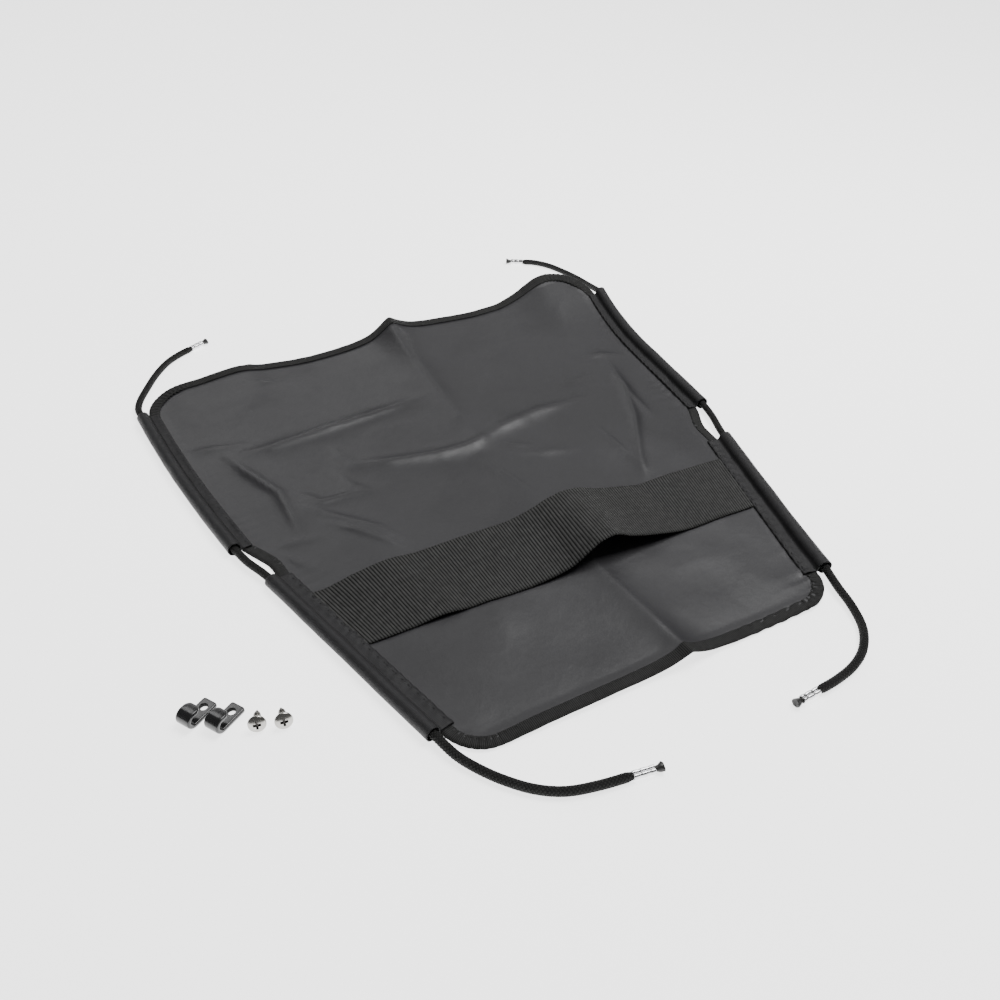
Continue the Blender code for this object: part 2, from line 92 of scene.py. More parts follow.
# Where the tape's ends lap over each other on the bottom edge, and a nick on the top edge.
LAP_X = 0.0165
NICK_X = -0.134

STRAP_WIDTH = 0.0635
STRAP_THICKNESS = 0.0013
# Height of the strap's underside above the ground, as (x, z) along its two edges.
STRAP_UPPER_RISE = ((-0.175, 0.0020), (-0.150, 0.0075), (-0.121, 0.0115), (-0.100, 0.0095),
                    (-0.070, 0.0108), (-0.030, 0.0115), (-0.009, 0.0157), (0.007, 0.0212),
                    (0.022, 0.0240), (0.035, 0.0224), (0.053, 0.0152), (0.075, 0.0091),
                    (0.102, 0.0030), (0.125, 0.0015))
STRAP_LOWER_RISE = ((-0.172, 0.0015), (-0.139, 0.0018), (-0.108, 0.0052), (-0.080, 0.0018),
                    (-0.062, 0.0015), (-0.036, 0.0030), (-0.020, 0.0050), (-0.006, 0.0090),
                    (0.008, 0.0185), (0.018, 0.0243), (0.027, 0.0255), (0.044, 0.0182),
                    (0.065, 0.0110), (0.096, 0.0036), (0.120, 0.0015))
STRAP_TUCK = 0.0148
STRAP_LEFT_RISE = 0.0055
STRAP_RIB = 0.0019

CORD_RADIUS = 0.003175
FLOOR_CORD_Z = CORD_RADIUS + 0.0001
BRAID_STRANDS = 8
BRAID_LAY = 0.0190
BRAID_RELIEF = 0.00042

# Each loose cord end, from near the sleeve's mouth to the ferrule.
LOOSE_ROUTES = {
    "left_top": ((-0.2452, 0.3375), (-0.2405, 0.356), (-0.2295, 0.378), (-0.2175, 0.399),
                 (-0.2035, 0.417), (-0.1895, 0.428), (-0.1760, 0.435)),
    "right_top": ((0.2475, 0.343), (0.2540, 0.366), (0.2575, 0.390), (0.2560, 0.414),
                  (0.2490, 0.438), (0.2385, 0.455), (0.2265, 0.464)),
    "left_bottom": ((-0.1504, -0.1345), (-0.1425, -0.149), (-0.1325, -0.163), (-0.1200, -0.176),
                    (-0.1050, -0.1855), (-0.0860, -0.191), (-0.0660, -0.1945)),
    "right_bottom": ((0.1515, -0.134), (0.1475, -0.152), (0.1390, -0.171), (0.1250, -0.185),
                     (0.1080, -0.193), (0.0900, -0.1965), (0.0740, -0.1975)),
}

# How much of the sleeve mouth's lift is left at each point of a route.
LOOSE_LIFT = (0.80, 0.42, 0.14, 0.0, 0.0, 0.0, 0.0)
MOUTH_CLEARANCE = 0.0006

STITCH_PITCH = 0.0032
STITCH_BEAD = (0.00118, 0.00026, 0.00020)

FERRULE_LENGTH = 0.014
FERRULE_RADIUS = 0.0029
HOOK_HEIGHT = 0.012
HOOK_STRIP = 0.003
HOOK_WIDTH = 0.0112
HOOK_LONG_LEG = 0.018
HOOK_SHORT_LEG = 0.0063
HOOK_DROOP = 0.0009
HOOK_SHORT_CORNER = 0.0042
HOOK_LONG_CORNER = 0.0018
HOOK_HOLE_X = 0.0116
HOOK_HOLE_RADIUS = 0.00255
HOOK_HEADING = math.radians(32.3)
HOOK_PLACES = ((-0.2832, -0.0343), (-0.2687, -0.0460))
SCREW_TILT = math.radians(19.2)
SCREW_PLACES = ((-0.2477, -0.0583, math.radians(257)), (-0.2326, -0.0636, math.radians(263)))
HEAD_RADIUS = 0.0057

SIDES = {"left": -1, "right": 1}

# ---- how the cloth lies ----

# Height of the top edge and of the bottom edge above the ground, as (x, z) along the edge.
TOP_EDGE_RISE = ((-0.260, 0.002), (-0.190, 0.0045), (-0.146, 0.0085), (-0.120, 0.0040),
                 (-0.075, 0.0005), (-0.015, 0.0030), (0.012, 0.0080), (0.060, 0.0085),
                 (0.105, 0.0070), (0.140, 0.0085), (0.170, 0.0060), (0.270, 0.0060))
BOTTOM_EDGE_RISE = ((-0.170, 0.0010), (-0.120, 0.0005), (-0.090, 0.0020), (-0.040, 0.0025),
                    (0.060, 0.0005), (0.085, 0.0000), (0.130, 0.0015), (0.170, 0.0030))

# Creases: (x, y, height) along each, then its half width.
CREASES = (
    (((0.014, 0.378, 0.0160), (0.012, 0.320, 0.0105), (0.010, 0.250, 0.0060),
      (0.009, 0.190, 0.0040)), 0.017),
    (((0.009, 0.250, 0.0010), (0.009, 0.150, 0.0016), (0.008, 0.060, 0.0012),
      (0.012, -0.030, 0.0036), (0.015, -0.090, 0.0058), (0.018, -0.145, 0.0090)), 0.013),
    (((-0.222, 0.252, 0.0005), (-0.200, 0.247, 0.0024), (-0.168, 0.238, 0.0004)), 0.0045),
    (((-0.186, 0.228, 0.0007), (-0.155, 0.222, 0.0041), (-0.100, 0.226, 0.0052),
      (-0.050, 0.231, 0.0038), (-0.006, 0.236, 0.0005)), 0.0075),
    (((-0.110, 0.170, 0.0004), (-0.070, 0.156, 0.0040), (-0.030, 0.146, 0.0046),
      (0.000, 0.143, 0.0041), (0.018, 0.148, 0.0007)), 0.0070),
    (((-0.004, 0.142, 0.0008), (0.035, 0.156, 0.0045), (0.080, 0.166, 0.0043),
      (0.135, 0.168, 0.0004)), 0.0085),
    (((0.155, 0.231, 0.0004), (0.184, 0.229, 0.0024), (0.212, 0.220, 0.0004)), 0.0050),
    (((-0.144, 0.333, 0.0003), (-0.132, 0.327, 0.0016), (-0.116, 0.325, 0.0003)), 0.0040),
    (((-0.200, 0.100, 0.0003), (-0.178, 0.096, 0.0019), (-0.155, 0.091, 0.0003)), 0.0040),
    (((0.020, 0.125, 0.0004), (0.050, 0.108, 0.0022), (0.082, 0.098, 0.0004)), 0.0060),
    (((-0.190, 0.232, 0.0004), (-0.180, 0.196, 0.0037), (-0.167, 0.158, 0.0035),
      (-0.168, 0.098, 0.0006)), 0.0042),
    (((-0.162, 0.140, 0.0005), (-0.138, 0.108, 0.0030), (-0.112, 0.078, 0.0022),
      (-0.098, 0.055, 0.0004)), 0.0042),
    (((-0.118, 0.168, 0.0002), (-0.112, 0.140, 0.0019), (-0.100, 0.128, 0.0004)), 0.0042),
    (((0.187, 0.218, 0.0005), (0.172, 0.170, 0.0037), (0.150, 0.118, 0.0042),
      (0.122, 0.070, 0.0030), (0.106, 0.036, 0.0004)), 0.0048),
    (((0.176, 0.190, 0.0004), (0.169, 0.150, 0.0022), (0.166, 0.112, 0.0004)), 0.0036),
    (((0.112, 0.125, 0.0004), (0.111, 0.085, 0.0019), (0.114, 0.050, 0.0004)), 0.0036),
    (((-0.193, 0.096, 0.0004), (-0.182, 0.078, 0.0019), (-0.168, 0.056, 0.0004)), 0.0034),
    (((0.000, 0.128, 0.0004), (0.004, 0.098, 0.0019), (0.014, 0.062, 0.0004)), 0.0034),
    (((-0.150, 0.108, 0.0004), (-0.132, 0.088, 0.0026), (-0.115, 0.068, 0.0022),
      (-0.103, 0.048, 0.0004)), 0.0040),
    (((-0.110, 0.203, 0.0003), (-0.106, 0.185, 0.0016), (-0.100, 0.168, 0.0004)), 0.0040),
    (((-0.160, 0.158, 0.0004), (-0.142, 0.131, 0.0024), (-0.112, 0.130, 0.0018),
      (-0.098, 0.124, 0.0003)), 0.0040),
    (((0.022, 0.138, 0.0004), (0.034, 0.127, 0.0020), (0.048, 0.121, 0.0004)), 0.0036),
    (((0.118, 0.198, 0.0003), (0.140, 0.196, 0.0016), (0.158, 0.204, 0.0003)), 0.0048),
)

# The top right corner curls up from the ground.
CURL_HEIGHT = 0.0275
CURL_X = (0.132, 0.196)
CURL_Y = (0.215, 0.372)

# The left edge bows outwards along one stretch of its length, and less towards the middle.
SIDE_BOW = 0.0035
SIDE_BOW_START = 0.100
SIDE_BOW_LENGTH = 0.225
SIDE_BOW_X = (0.120, 0.225)

BASE_RISE = 0.0034
RIM_REACH = 0.060
TOP_RISE_REACH = 0.060
BOTTOM_RISE_REACH = 0.040
# How rounded a crease's peak is, as a share of its half width.
CREASE_ROUND = 0.16
PUCKER_HEIGHT = 0.0005
PUCKER_PITCH = 0.0115
PUCKER_REACH = 0.010

# How low the panel and the melted ends may go, and the middle of the sleeves' cloth.
LOWEST = 0.0002
SLEEVE_LOWEST = 0.00028


def ramp(low, high, value):
    """0 below low, 1 above high, and smooth in between."""
    t = min(1.0, max(0.0, (value - low) / (high - low)))
    return t * t * (3 - 2 * t)


def table_slope(table, i):
    """The slope of a table's curve at one of its pairs: level at the ends, the peaks and the dips."""
    if i in (0, len(table) - 1):
        return 0.0
    before = (table[i][1] - table[i - 1][1]) / (table[i][0] - table[i - 1][0])
    after = (table[i + 1][1] - table[i][1]) / (table[i + 1][0] - table[i][0])
    return 2 * before * after / (before + after) if before * after > 0 else 0.0


def along_table(table, x):
    """A smooth curve through the (x, value) pairs of a table, level beyond its ends."""
    if x <= table[0][0]:
        return table[0][1]
    for i in range(len(table) - 1):
        (x0, z0), (x1, z1) = table[i], table[i + 1]
        if x <= x1:
            t = (x - x0) / (x1 - x0)
            leaving, arriving = table_slope(table, i), table_slope(table, i + 1)
            bend = leaving * t * (1 - t) ** 2 - arriving * t * t * (1 - t)
            return z0 + (z1 - z0) * t * t * (3 - 2 * t) + (x1 - x0) * bend
    return table[-1][1]


def crease_height(points, half_width, x, y):
    """How far one crease lifts the cloth at (x, y): a soft peak along its line."""
    best = 0.0
    for (x0, y0, h0), (x1, y1, h1) in zip(points, points[1:]):
        run_x, run_y = x1 - x0, y1 - y0
        t = ((x - x0) * run_x + (y - y0) * run_y) / (run_x * run_x + run_y * run_y)
        t = min(1.0, max(0.0, t))
        away = math.hypot(x - x0 - t * run_x, y - y0 - t * run_y) / half_width
        if away < 5:
            fall = CREASE_ROUND - math.sqrt(away * away + CREASE_ROUND ** 2)
            best = max(best, (h0 + (h1 - h0) * t) * math.exp(fall))
    return best


def fillet(before, corner, after, radius, step=math.radians(4)):
    """Points along the arc that rounds a corner of an outline."""
    before, corner, after = Vector(before), Vector(corner), Vector(after)
    towards_before = (before - corner).normalized()
    towards_after = (after - corner).normalized()
    half_angle = towards_before.angle(towards_after) / 2
    centre = corner + (towards_before + towards_after).normalized() * radius / math.sin(half_angle)
    start = corner + towards_before * radius / math.tan(half_angle) - centre
    end = corner + towards_after * radius / math.tan(half_angle) - centre
    turn = start.angle_signed(end)
    steps = max(2, math.ceil(abs(turn) / step))
    return [centre + Matrix.Rotation(-turn * i / steps, 2) @ start for i in range(steps + 1)]


def sleeve_frame(sleeve):
    """The start, the unit direction and the inward unit normal of a right-hand sleeve."""
    start, end = Vector(sleeve[0]), Vector(sleeve[1])
    direction = (end - start).normalized()
    return start, direction, Vector((-direction.y, direction.x))


def edge_point(sleeve, y):
    """Where the panel's right-hand edge, under a sleeve's flange, passes the height y."""
    start, direction, inward = sleeve_frame(sleeve)
    point = start + inward * EDGE_INSET
    return point + direction * (y - point.y) / direction.y


def right_edge():
    """The panel's right-hand edge, from the bottom edge up to the top edge."""
    corners = [
        (Vector((0, BOTTOM_Y)), None),
        (edge_point(LOWER_SLEEVE, BOTTOM_Y), BOTTOM_RADIUS),
        (edge_point(LOWER_SLEEVE, LOWER_SLEEVE[1][1]), None),
        (Vector((WAIST_X, FOLD_Y)), WAIST_RADIUS),
        (edge_point(UPPER_SLEEVE, UPPER_SLEEVE[0][1]), None),
        (edge_point(UPPER_SLEEVE, TOP_Y), TOP_RADIUS),
        (Vector((0, TOP_Y)), None),
    ]
    edge = []
    for i, (point, radius) in enumerate(corners[1:-1], start=1):
        if radius is None:
            edge.append(point)
        else:
            edge += fillet(corners[i - 1][0], point, corners[i + 1][0], radius)
    return edge


RIGHT_EDGE = right_edge()


def half_width(y):
    """The panel's half width at y."""
    for a, b in zip(RIGHT_EDGE, RIGHT_EDGE[1:]):
        if y <= b.y and b.y > a.y:
            return a.x + (b.x - a.x) * max(0.0, (y - a.y) / (b.y - a.y))
    return RIGHT_EDGE[-1].x


def cloth_height(x, y):
    """How far the cloth's underside stands off the ground at (x, y)."""
    side_gap = half_width(min(TOP_Y, max(BOTTOM_Y, y))) - abs(x)
    top_gap, bottom_gap = TOP_Y - y, y - BOTTOM_Y
    inside = ramp(0.0, RIM_REACH, min(side_gap, top_gap, bottom_gap))
    from_top, from_bottom = max(0.0, top_gap) / TOP_RISE_REACH, max(0.0, bottom_gap) / BOTTOM_RISE_REACH
    height = along_table(TOP_EDGE_RISE, x) * math.exp(-from_top ** 2)
    height += along_table(BOTTOM_EDGE_RISE, x) * math.exp(-from_bottom ** 2)
    height += BASE_RISE * inside * (0.35 + 0.65 * ramp(-0.100, 0.060, y))
    height += inside * 0.0018 * noise.noise(Vector((x * 11, y * 11, 3.1)))
    height += inside * 0.0006 * noise.noise(Vector((x * 31, y * 27, 8.7)))
    height -= inside * 0.0016 * min(0.3, abs(noise.noise(Vector((x * 15 + 2.2, y * 13, 5.9)))))
    for points, half in CREASES:
        height += crease_height(points, half, x, y)
    curl_in = ramp(*CURL_X, x)
    curl_up = max(0.0, (y - CURL_Y[0]) / (CURL_Y[1] - CURL_Y[0])) ** 2.1
    height += CURL_HEIGHT * curl_in * min(1.0, curl_up)
    return max(0.0, 0.5 * (height + math.sqrt(height * height + 1e-7)) - 0.00016)


def pucker(x, y):
    """The small gathers that the sewing makes in the panel beside the sleeves and the tape."""
    side_gap = half_width(min(TOP_Y, max(BOTTOM_Y, y))) - abs(x)
    beyond = max(0.0, side_gap - PUCKER_REACH)
    wander = noise.noise(Vector((y * 38, x * 3, 1.7)))
    patchy = max(0.0, 0.30 + 1.5 * noise.noise(Vector((y * 17, x * 2, 6.3))))
    wave = math.sin(2 * math.pi * y / PUCKER_PITCH + 7 * wander) * patchy
    return PUCKER_HEIGHT * wave * math.exp(-beyond / PUCKER_REACH) * ramp(0.006, 0.011, side_gap)


def lay(point):
    """Where a point of the flat pattern goes once the screen lies on the ground."""
    x, y, z = point
    swell = math.sin(math.pi * min(1.0, max(0.0, (y - SIDE_BOW_START) / SIDE_BOW_LENGTH)))
    bow = SIDE_BOW * swell * ramp(*SIDE_BOW_X, -x)
    return Vector((x - bow, y, z + cloth_height(x, y)))


# ---- making meshes ----

def finish_mesh(name, form, material, smooth_angle=40):
    """Makes a form an object, smooth except where its faces meet at more than the angle."""
    mesh = bpy.data.meshes.new(name)
    form.to_mesh(mesh)
    form.free()
    piece = bpy.data.objects.new(name, mesh)
    bpy.context.scene.collection.objects.link(piece)
    mesh.materials.append(material)
    mesh.shade_smooth()
    mesh.set_sharp_from_angle(angle=math.radians(smooth_angle))
    return piece


def patterned_grid(along, across, length, width, place):
    """A grid of cloth: place(u, v) puts each point, u and v from 0 to 1.

    Its UV map "cloth" holds the same distances in metres along and across.
    """
    form = bmesh.new()
    bmesh.ops.create_grid(form, x_segments=along, y_segments=across, size=0.5)
    uv = form.loops.layers.uv.new("cloth")
    for face in form.faces:
        for loop in face.loops:
            loop[uv].uv = ((loop.vert.co.x + 0.5) * length, (loop.vert.co.y + 0.5) * width)
    for vert in form.verts:
        vert.co = place(vert.co.x + 0.5, vert.co.y + 0.5)
    return form


def turned(profile, steps):
    """A closed form turned about the Z axis from the (radius, z) pairs of its profile."""
    form = bmesh.new()
    verts = [form.verts.new((radius, 0, z)) for radius, z in profile]
    edges = [form.edges.new(pair) for pair in zip(verts, verts[1:])]
    bmesh.ops.spin(form, geom=verts + edges, cent=(0, 0, 0), axis=(0, 0, 1), angle=2 * math.pi, steps=steps,
                   use_merge=True)
    bmesh.ops.remove_doubles(form, verts=form.verts, dist=1e-6)
    bmesh.ops.recalc_face_normals(form, faces=form.faces)
    return form


def close_tube(form):
    """Joins the long edges of a rolled grid, fills its ends and turns its faces out."""
    bmesh.ops.remove_doubles(form, verts=form.verts, dist=1e-6)
    rims = [edge for edge in form.edges if edge.is_boundary]
    if rims:
        bmesh.ops.holes_fill(form, edges=rims, sides=0)
    bmesh.ops.recalc_face_normals(form, faces=form.faces)


def face_up(form):
    """Turns an open sheet's faces to look upwards."""
    bmesh.ops.recalc_face_normals(form, faces=form.faces)
    if sum(face.normal.z for face in form.faces) < 0:
        bmesh.ops.reverse_faces(form, faces=form.faces)


def thicken(piece, thickness, offset=1.0):
    """Gives a sheet its wall; offset is the side it grows to, 1 being where its faces look."""
    solid = piece.modifiers.new("thickness", "SOLIDIFY")
    solid.thickness = thickness
    solid.offset = offset
    return piece


def even_path(route, spacing):
    """Points a given distance apart along a Catmull-Rom curve through the route."""
    route = [Vector(p) for p in route]
    ends = [2 * route[0] - route[1]] + route + [2 * route[-1] - route[-2]]
    fine = []
    steps = 24
    for i in range(len(route) - 1):
        p0, p1, p2, p3 = ends[i:i + 4]
        for k in range(steps):
            t = k / steps
            fine.append(0.5 * (2 * p1 + (p2 - p0) * t + (2 * p0 - 5 * p1 + 4 * p2 - p3) * t ** 2
                               + (3 * p1 - p0 - 3 * p2 + p3) * t ** 3))
    fine.append(route[-1])
    return resampled(fine, spacing)


def path_length(path):
    return sum((b - a).length for a, b in zip(path, path[1:]))


def resampled(path, spacing):
    """The same path with its points a given distance apart."""
    total = path_length(path)
    count = max(2, round(total / spacing))
    points, walked, wanted = [path[0]], 0.0, 1
    for a, b in zip(path, path[1:]):
        step = (b - a).length
        while wanted < count and walked + step >= total * wanted / count:
            points.append(a.lerp(b, (total * wanted / count - walked) / step))
            wanted += 1
        walked += step
    return points + [path[-1]]


def tube_frames(path):
    """At each point of a path: the point, the sideways and the upward direction of its section."""
    frames = []
    for i, point in enumerate(path):
        ahead = (path[min(i + 1, len(path) - 1)] - path[max(i - 1, 0)]).normalized()
        sideways = ahead.cross(Vector((0, 0, 1))).normalized()
        frames.append((point, sideways, sideways.cross(ahead)))
    return frames


def between(frames, u):
    """The frame at a share u of the way along a list of frames."""
    at = u * (len(frames) - 1)
    i = min(int(at), len(frames) - 2)
    t = at - i
    return [a.lerp(b, t) for a, b in zip(frames[i], frames[i + 1])]


# ---- node groups and materials ----

def new_group(name, inputs, outputs):
    group = bpy.data.node_groups.new(name, "ShaderNodeTree")
    for label, kind in inputs:
        group.interface.new_socket(label, in_out="INPUT", socket_type=kind)
    for label, kind in outputs:
        group.interface.new_socket(label, in_out="OUTPUT", socket_type=kind)
    return group, group.nodes.new("NodeGroupInput"), group.nodes.new("NodeGroupOutput")


def math_node(tree, operation, first, second=0.5, third=0.5):
    """A Math node fed by sockets or plain numbers; returns its output."""
    made = tree.nodes.new("ShaderNodeMath")
    made.operation = operation
    for socket, value in zip(made.inputs, (first, second, third)):
        if isinstance(value, bpy.types.NodeSocket):
            tree.links.new(value, socket)
        else:
            socket.default_value = value
    return made.outputs[0]


def noise_node(tree, vector, scale, detail=3.0, roughness=0.5):
    made = tree.nodes.new("ShaderNodeTexNoise")
    made.inputs["Scale"].default_value = scale
    made.inputs["Detail"].default_value = detail
    made.inputs["Roughness"].default_value = roughness
    tree.links.new(vector, made.inputs["Vector"])
    return made.outputs[0]


def make_rib_group():
    """Rounded ribs across a distance, at a pitch: 0 in the valleys and 1 on the crowns."""
    inputs = [("Distance", "NodeSocketFloat"), ("Pitch", "NodeSocketFloat")]
    group, given, result = new_group("ribs", inputs, [("Height", "NodeSocketFloat")])
    turns = math_node(group, "DIVIDE", given.outputs["Distance"], given.outputs["Pitch"])
    wave = math_node(group, "SINE", math_node(group, "MULTIPLY", turns, math.pi))
    group.links.new(math_node(group, "ABSOLUTE", wave), result.inputs["Height"])
    return group


def make_weave_group():
    """A plain weave's over and under, at a pitch, on two distances."""
    inputs = [(label, "NodeSocketFloat") for label in ("Along", "Across", "Pitch")]
    group, given, result = new_group("weave", inputs, [("Height", "NodeSocketFloat")])
    waves = []
    for label in ("Along", "Across"):
        turns = math_node(group, "DIVIDE", given.outputs[label], given.outputs["Pitch"])
        waves.append(math_node(group, "SINE", math_node(group, "MULTIPLY", turns, math.pi)))
    product = math_node(group, "MULTIPLY", waves[0], waves[1])
    group.links.new(math_node(group, "MULTIPLY_ADD", product, 0.5, 0.5), result.inputs["Height"])
    return group


def make_mottle_group():
    """Slow variation over a surface, as from wear, dye and handling: 0 to 1."""
    inputs = [("Place", "NodeSocketVector"), ("Scale", "NodeSocketFloat")]
    outputs = [("Amount", "NodeSocketFloat"), ("Fine", "NodeSocketFloat")]
    group, given, result = new_group("mottle", inputs, outputs)
    for label, factor, detail in (("Amount", 1.0, 4.0), ("Fine", 9.0, 6.0)):
        made = group.nodes.new("ShaderNodeTexNoise")
        made.inputs["Detail"].default_value = detail
        group.links.new(given.outputs["Place"], made.inputs["Vector"])
        group.links.new(math_node(group, "MULTIPLY", given.outputs["Scale"], factor), made.inputs["Scale"])
        spread = math_node(group, "MULTIPLY_ADD", made.outputs[0], 2.2, -0.6)
        spread.node.use_clamp = True
        group.links.new(spread, result.inputs[label])
    return group


RIBS = make_rib_group()
WEAVE = make_weave_group()
MOTTLE = make_mottle_group()


def use_group(tree, group, **inputs):
    """A group node fed by sockets or plain numbers."""
    made = tree.nodes.new("ShaderNodeGroup")
    made.node_tree = group
    for label, value in inputs.items():
        if isinstance(value, bpy.types.NodeSocket):
            tree.links.new(value, made.inputs[label])
        else:
            made.inputs[label].default_value = value
    return made


def blend_colours(tree, share, dark, light):
    made = tree.nodes.new("ShaderNodeMix")
    made.data_type = "RGBA"
    tree.links.new(share, made.inputs[0])
    made.inputs[6].default_value = (*dark, 1)
    made.inputs[7].default_value = (*light, 1)
    return made.outputs[2]


def add_bump(tree, shader, layers):
    """Bump nodes in a chain: each layer is a height, its depth in metres and its strength."""
    normal = None
    for height, depth, strength in layers:
        bump = tree.nodes.new("ShaderNodeBump")
        bump.inputs["Strength"].default_value = strength
        bump.inputs["Distance"].default_value = depth
        tree.links.new(height, bump.inputs["Height"])
        if normal:
            tree.links.new(normal, bump.inputs["Normal"])
        normal = bump.outputs[0]
    tree.links.new(normal, shader.inputs["Normal"])


def start_material(name):
    """A material, its tree, its shader and the object's coordinates."""
    material = bpy.data.materials.new(name)
    material.use_nodes = True
    tree = material.node_tree
    place = tree.nodes.new("ShaderNodeTexCoord").outputs["Object"]
    return material, tree, tree.nodes["Principled BSDF"], place


def cloth_distances(tree):
    """The distances in metres along and across a piece's own cloth, from its UV map."""
    cloth = tree.nodes.new("ShaderNodeUVMap")
    cloth.uv_map = "cloth"
    split = tree.nodes.new("ShaderNodeSeparateXYZ")
    tree.links.new(cloth.outputs[0], split.inputs[0])
    return split.outputs[0], split.outputs[1]


def roughness_from(tree, shader, share, low, high):
    tree.links.new(math_node(tree, "MULTIPLY_ADD", share, high - low, low), shader.inputs["Roughness"])


def coated_cloth():
    """The panel: a tight weave under a satin coating, with handling creases."""
    material, tree, shader, place = start_material("coated_cloth")
    along, across = cloth_distances(tree)
    mottle = use_group(tree, MOTTLE, Place=place, Scale=9.0)
    weave = use_group(tree, WEAVE, Along=along, Across=across, Pitch=0.00042)
    amount = mottle.outputs["Amount"]
    colour = blend_colours(tree, amount, (0.021, 0.0205, 0.0226), (0.030, 0.0295, 0.0322))
    tree.links.new(colour, shader.inputs["Base Color"])
    roughness_from(tree, shader, amount, 0.36, 0.46)
    crumple = noise_node(tree, place, 55.0, 5.0, 0.6)
    add_bump(tree, shader, [(crumple, 0.0012, 0.35), (weave.outputs[0], 0.00005, 0.5)])
    return material


def ribbed_cloth(name, dark, light, rib_pitch, rib_depth, rib_shade, weave_pitch, roughness):
    """Cloth with cross ribs and threads: the tape, the sleeves and the webbing.

    rib_shade is how dark the valleys between the ribs are, from 0 to 1.
    """
    material, tree, shader, place = start_material(name)
    along, across = cloth_distances(tree)
    mottle = use_group(tree, MOTTLE, Place=place, Scale=24.0)
    ribs = use_group(tree, RIBS, Distance=along, Pitch=rib_pitch)
    weave = use_group(tree, WEAVE, Along=along, Across=across, Pitch=weave_pitch)
    rounded = math_node(tree, "POWER", ribs.outputs[0], 2.0)
    crowns = math_node(tree, "MULTIPLY_ADD", rounded, rib_shade, 1 - rib_shade)
    worn = math_node(tree, "MULTIPLY_ADD", mottle.outputs["Fine"], 0.4, 0.6)
    share = math_node(tree, "MULTIPLY", crowns, worn)
    tree.links.new(blend_colours(tree, share, dark, light), shader.inputs["Base Color"])
    roughness_from(tree, shader, mottle.outputs["Amount"], roughness - 0.08, roughness + 0.05)
    shader.inputs["Specular IOR Level"].default_value = 0.25
    shader.inputs["Sheen Weight"].default_value = 0.015
    shader.inputs["Sheen Roughness"].default_value = 0.5
    add_bump(tree, shader, [(ribs.outputs[0], rib_depth, 0.9), (weave.outputs[0], 0.0001, 0.6)])
    return material


def braided_cloth():
    """The cord's braided jacket: the strands' crowns are paler, and fine yarns run along them."""
    material, tree, shader, place = start_material("braided_jacket")
    along, across = cloth_distances(tree)
    mottle = use_group(tree, MOTTLE, Place=place, Scale=60.0)
    round_count = math_node(tree, "MULTIPLY", across, BRAID_STRANDS / (2 * math.pi * CORD_RADIUS))
    along_count = math_node(tree, "MULTIPLY", along, BRAID_STRANDS / BRAID_LAY)
    crowns = []
    for way in ("ADD", "SUBTRACT"):
        strands = math_node(tree, way, round_count, along_count)
        crowns.append(use_group(tree, RIBS, Distance=strands, Pitch=1.0).outputs[0])
    weave = math_node(tree, "MULTIPLY", *crowns)
    worn = math_node(tree, "MULTIPLY_ADD", mottle.outputs["Fine"], 0.5, 0.5)
    share = math_node(tree, "MULTIPLY", weave, worn)
    tree.links.new(blend_colours(tree, share, (0.0008, 0.0008, 0.0008), (0.024, 0.024, 0.0225)),
                   shader.inputs["Base Color"])
    shader.inputs["Specular IOR Level"].default_value = 0.3
    roughness_from(tree, shader, mottle.outputs["Amount"], 0.62, 0.78)
    yarns = use_group(tree, RIBS, Distance=math_node(tree, "ADD", along, across), Pitch=0.00035)
    add_bump(tree, shader, [(weave, 0.0002, 0.8), (yarns.outputs[0], 0.00008, 0.8)])
    return material


def plain_finish(name, dark, light, rough_low, rough_high, metallic=0.0, bump=None, coat=0.0):
    """A hard finish with faint variation: metal, enamel, melted plastic, thread, and the painted shade in
    the hooks' screw holes and the screws' recesses.
    """
    material, tree, shader, place = start_material(name)
    mottle = use_group(tree, MOTTLE, Place=place, Scale=90.0)
    colour = blend_colours(tree, mottle.outputs["Amount"], dark, light)
    tree.links.new(colour, shader.inputs["Base Color"])
    roughness_from(tree, shader, mottle.outputs["Fine"], rough_low, rough_high)
    shader.inputs["Metallic"].default_value = metallic
    shader.inputs["Coat Weight"].default_value = coat
    shader.inputs["Coat Roughness"].default_value = 0.06
    if bump:
        scale, depth = bump
        add_bump(tree, shader, [(noise_node(tree, place, scale), depth, 0.6)])
    return material


PANEL_CLOTH = coated_cloth()
TAPE_CLOTH = ribbed_cloth("grosgrain_tape", (0.0010, 0.0010, 0.0010), (0.038, 0.038, 0.037),
                          rib_pitch=TAPE_RIB, rib_depth=0.00014, rib_shade=0.9, weave_pitch=0.0004,
                          roughness=0.70)
SLEEVE_CLOTH = ribbed_cloth("sleeve_cloth", (0.0100, 0.0097, 0.0103), (0.0290, 0.0284, 0.0300),
                            rib_pitch=0.0011, rib_depth=0.00012, rib_shade=0.45, weave_pitch=0.00045,
                            roughness=0.56)
WEBBING = ribbed_cloth("webbing", (0.0018, 0.0018, 0.0018), (0.062, 0.062, 0.060),
                       rib_pitch=STRAP_RIB, rib_depth=0.0002, rib_shade=1.0, weave_pitch=0.0008,
                       roughness=0.70)
CORD_JACKET = braided_cloth()
BRIGHT_STEEL = plain_finish("bright_plated_steel", (0.70, 0.70, 0.71), (0.86, 0.86, 0.87), 0.16, 0.30,
                            metallic=1.0, bump=(900.0, 0.00006))
SCREW_STEEL = plain_finish("stainless_steel", (0.34, 0.33, 0.31), (0.46, 0.45, 0.425), 0.16, 0.28,
                           metallic=1.0, bump=(1200.0, 0.00004))
DARK_RECESS = plain_finish("shaded_recess", (0.05, 0.048, 0.045), (0.12, 0.115, 0.11), 0.40, 0.60,
                           metallic=1.0)
BLACK_ENAMEL = plain_finish("black_enamel", (0.006, 0.006, 0.0065), (0.014, 0.014, 0.015), 0.20, 0.34,
                            bump=(420.0, 0.00003), coat=0.3)
